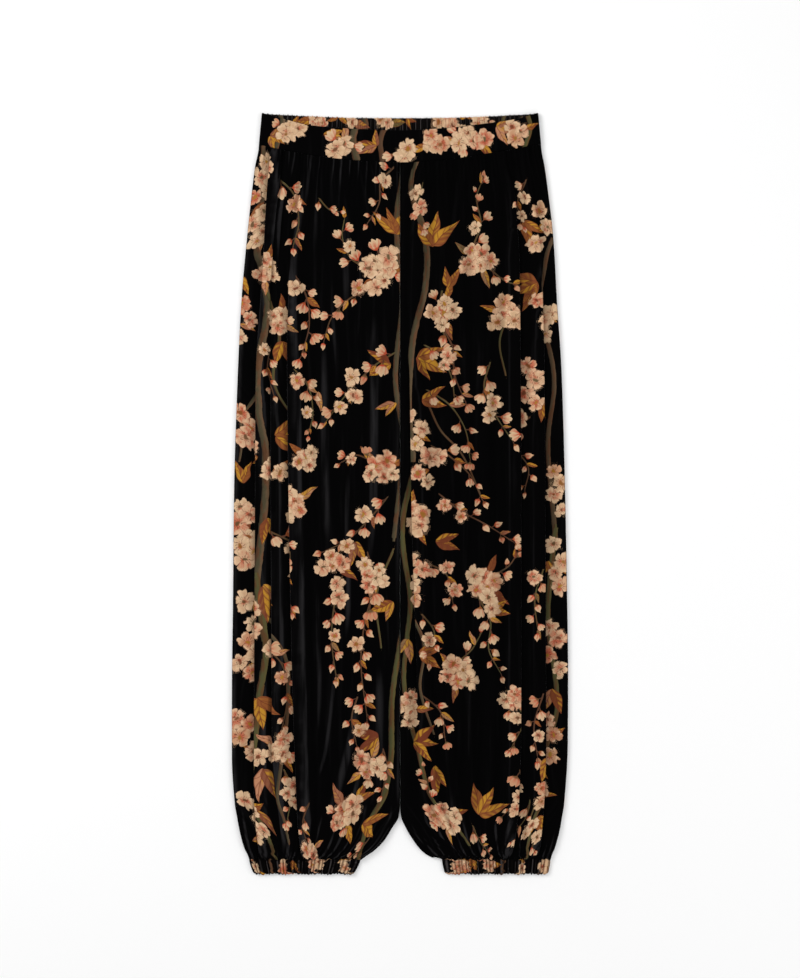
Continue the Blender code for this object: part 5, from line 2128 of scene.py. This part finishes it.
RIGHT_LEG = Leg(
    name="right",
    side=1,
    stations=(
        (449.0, 181.3, 0.0), (419.0, 186.0, 0.0), (388.0, 190.3, 0.0),
        (327.0, 197.2, 0.0), (250.0, 201.6, 0.0),
        (157.0, 207.6, 0.0), (3.0, 212.2, 0.0), (-136.0, 214.8, 0.0), (-230.0, 216.0, 0.0),
        (-320.0, 215.6, 0.0), (-399.0, 210.9, 0.0), (-414.0, 208.4, 1.2), (-429.5, 205.8, 7.7),
        (-445.0, 202.0, 17.0), (-456.0, 198.6, 25.5), (-464.0, 195.0, 35.0), (-469.0, 193.4, 51.0),
    ),
    folds=(
        Fold(1, 13, (
            (448.0, 164.0, 0.06), (300.0, 180.0, 0.05), (245.0, 183.0, 0.3), (190.0, 184.5, 0.6),
            (50.0, 185.5, 1.0), (-330.0, 187.0, 1.0), (-449.0, 180.0, 0.3), (-459.0, 177.0, 0.15),
            (-469.0, 172.0, 0.07),
        )),
        Fold(1, 13, (
            (448.0, 134.0, 0.06), (380.0, 147.0, 0.14), (345.0, 150.0, 0.3), (300.0, 153.0, 0.8),
            (0.0, 155.0, 1.0), (-300.0, 155.0, 1.0), (-400.0, 152.0, 0.8), (-449.0, 146.0, 0.3),
            (-459.0, 143.0, 0.15), (-469.0, 140.0, 0.07),
        )),
        Fold(-1, 78, (
            (448.0, 22.0, 0.06), (345.0, 16.0, 0.05), (190.0, 13.0, 0.05), (146.0, 13.0, 0.3),
            (112.0, 13.5, 0.75), (-30.0, 15.5, 0.85), (-110.0, 18.0, 0.75), (-190.0, 21.0, 0.3),
            (-265.0, 24.0, 0.13), (-330.0, 26.0, 0.03), (-414.0, 27.0, 0.02), (-469.0, 74.0, 0.02),
        )),
    ),
    ridges=(
        Ridge(((447.0, 52.0, 0.6), (370.0, 52.0, 1.4), (260.0, 48.0, 0.0))),
        Ridge(((430.0, 98.0, 0.0), (330.0, 100.0, 1.4), (60.0, 106.0, 1.8), (-140.0, 110.0, 0.0))),
        Ridge(((250.0, 58.0, 0.0), (150.0, 62.0, 1.5), (10.0, 60.0, 1.4), (-60.0, 56.0, 0.0))),
        Ridge(((-80.0, 46.0, 0.0), (-160.0, 47.0, 2.1), (-240.0, 50.0, 1.6), (-290.0, 52.0, 0.0))),
        Ridge(((-280.0, 60.0, 0.0), (-340.0, 61.0, 2.2), (-400.0, 66.0, 2.0), (-445.0, 80.0, 0.3))),
        Ridge(((-120.0, 118.0, 0.0), (-260.0, 116.0, 1.7), (-380.0, 112.0, 1.9), (-445.0, 110.0, 0.3))),
        Ridge(((380.0, 74.0, 0.0), (300.0, 76.0, 0.9), (210.0, 80.0, 0.8), (130.0, 82.0, 0.0)), 7.0),
        Ridge(((330.0, 30.0, 0.0), (270.0, 32.0, 0.8), (200.0, 34.0, 0.7), (150.0, 36.0, 0.0)), 6.0),
        Ridge(((210.0, 128.0, 0.0), (110.0, 127.0, 1.0), (10.0, 128.0, 0.9), (-80.0, 130.0, 0.0)), 8.0),
        Ridge(((40.0, 84.0, 0.0), (-40.0, 82.0, 1.2), (-130.0, 80.0, 1.1), (-210.0, 78.0, 0.0)), 8.0),
        Ridge(((-150.0, 92.0, 0.0), (-230.0, 90.0, 1.1), (-320.0, 88.0, 1.3), (-400.0, 90.0, 0.0)), 8.0),
        Ridge(((-250.0, 134.0, 0.0), (-320.0, 132.0, 1.0), (-400.0, 128.0, 1.2), (-450.0, 122.0, 0.2)), 7.0),
        Ridge(((-330.0, 38.0, 0.0), (-380.0, 44.0, 1.3), (-430.0, 60.0, 1.2), (-458.0, 74.0, 0.2)), 8.0),
    ),
    back_ridges=(
        Ridge(((430.0, 90.0, 0.0), (330.0, 92.0, 0.5), (200.0, 90.0, 0.45), (120.0, 88.0, 0.0)), 8.0),
        Ridge(((280.0, 40.0, 0.0), (150.0, 44.0, 0.5), (20.0, 50.0, 0.55), (-70.0, 54.0, 0.0)), 9.0),
        Ridge(((60.0, 130.0, 0.0), (-60.0, 134.0, 0.55), (-200.0, 136.0, 0.5), (-290.0, 138.0, 0.0)), 9.0),
        Ridge(((-160.0, 80.0, 0.0), (-260.0, 84.0, 0.5), (-370.0, 92.0, 0.6), (-445.0, 102.0, 0.0)), 10.0),
        Ridge(((-300.0, 156.0, 0.0), (-370.0, 152.0, 0.5), (-430.0, 146.0, 0.4), (-458.0, 142.0, 0.0)), 7.0),
    ),
    plain_columns=8,
    turn=5,
    quiet=0.34,
)


# ------------------------------------------------------------------------------------------- the studio


@dataclass(frozen=True)
class Studio:
    """A pale floor under soft light, and a camera that looks straight down."""

    floor_half: float = 6.0
    floor_level: float = -0.0002
    distance: float = 3.0
    frame_height: float = 1.2577
    centre_y: float = 0.0064
    sensor: float = 36.0

    def lay_floor(self) -> bpy.types.Object:
        """Lay the floor just under the cloth."""
        half, level = self.floor_half, self.floor_level
        mesh = bpy.data.meshes.new("floor")
        corners = [(-half, -half, level), (half, -half, level), (half, half, level), (-half, half, level)]
        mesh.from_pydata(corners, [], [(0, 1, 2, 3)])
        material = bpy.data.materials.new("Pale floor")
        material.use_nodes = True
        shader = material.node_tree.nodes["Principled BSDF"]
        shader.inputs["Base Color"].default_value = (0.94, 0.94, 0.94, 1.0)
        shader.inputs["Roughness"].default_value = 0.9
        mesh.materials.append(material)
        floor = bpy.data.objects.new("floor", mesh)
        bpy.context.scene.collection.objects.link(floor)
        return floor

    @staticmethod
    def hang_light(name: str, at: tuple, size: float, power: float) -> None:
        """Hang one soft light that faces the middle of the cloth.

        Args:
            name: The light's name.
            at: Where it hangs.
            size: Its width.
            power: Its power.
        """
        data = bpy.data.lights.new(name, "AREA")
        data.shape, data.size, data.energy = "DISK", size, power
        light = bpy.data.objects.new(name, data)
        light.location = at
        aim = -light.location
        light.rotation_euler = aim.to_track_quat("-Z", "Y").to_euler()
        bpy.context.scene.collection.objects.link(light)

    def set_up(self) -> None:
        """Lay the floor, hang the lights and place the camera."""
        self.lay_floor()
        self.hang_light("Key light", (-2.1, 1.2, 1.9), 1.5, 46.0)
        self.hang_light("Fill light", (2.3, -0.7, 2.0), 2.2, 26.0)
        self.hang_light("Top light", (0.0, 0.3, 3.6), 2.6, 28.0)
        world = bpy.data.worlds.new("Studio air")
        world.use_nodes = True
        world.node_tree.nodes["Background"].inputs[0].default_value = (1.0, 1.0, 1.0, 1.0)
        world.node_tree.nodes["Background"].inputs[1].default_value = 0.46
        scene = bpy.context.scene
        scene.world = world
        scene.view_settings.view_transform = "Standard"
        lens = bpy.data.cameras.new("camera")
        lens.sensor_width = self.sensor
        lens.lens = self.sensor * self.distance / self.frame_height
        camera = bpy.data.objects.new("camera", lens)
        camera.location = (0.0, self.centre_y, self.distance)
        scene.collection.objects.link(camera)
        scene.camera = camera


def main() -> None:
    """Build the garment from the waist down, then its surroundings."""
    logging.basicConfig(level=logging.INFO, format="%(message)s")
    motifs = Motifs(Inks())
    smooth = PrintedVelvet("Printed velvet").make(motifs)
    # The gathered finish is the same velvet with more painted sheen: a lighter ground standing in for the
    # sheen of the ruched pile, a brighter painted sheen colour on finer crest streaks, and deeper painted
    # shade in its troughs.
    gathered = PrintedVelvet(
        "Gathered printed velvet",
        ground=(0.0022, 0.0016, 0.0015),
        brushed=(0.04, 0.0345, 0.034),
        hollow_shade=0.42,
        hollow_from=-0.6,
        hollow_to=0.12,
        streak_scale=14.0,
    ).make(motifs)
    Studio().set_up()
    parts = [FrontBand(smooth).make(), BackBand(gathered).make()]
    for leg, outer, inner in (
        (LEFT_LEG, (193.8, 188.4), (51.0, 59.0)),
        (RIGHT_LEG, (193.2, 190.6), (54.0, 57.5)),
    ):
        cloth = LegCloth(leg, smooth)
        parts += [cloth.front(), cloth.back(), Cuff(leg, gathered, outer, inner).make()]
    for part in parts:
        log.info("built %s: %d faces", part.name, len(part.data.polygons))


if __name__ == "__main__":
    main()
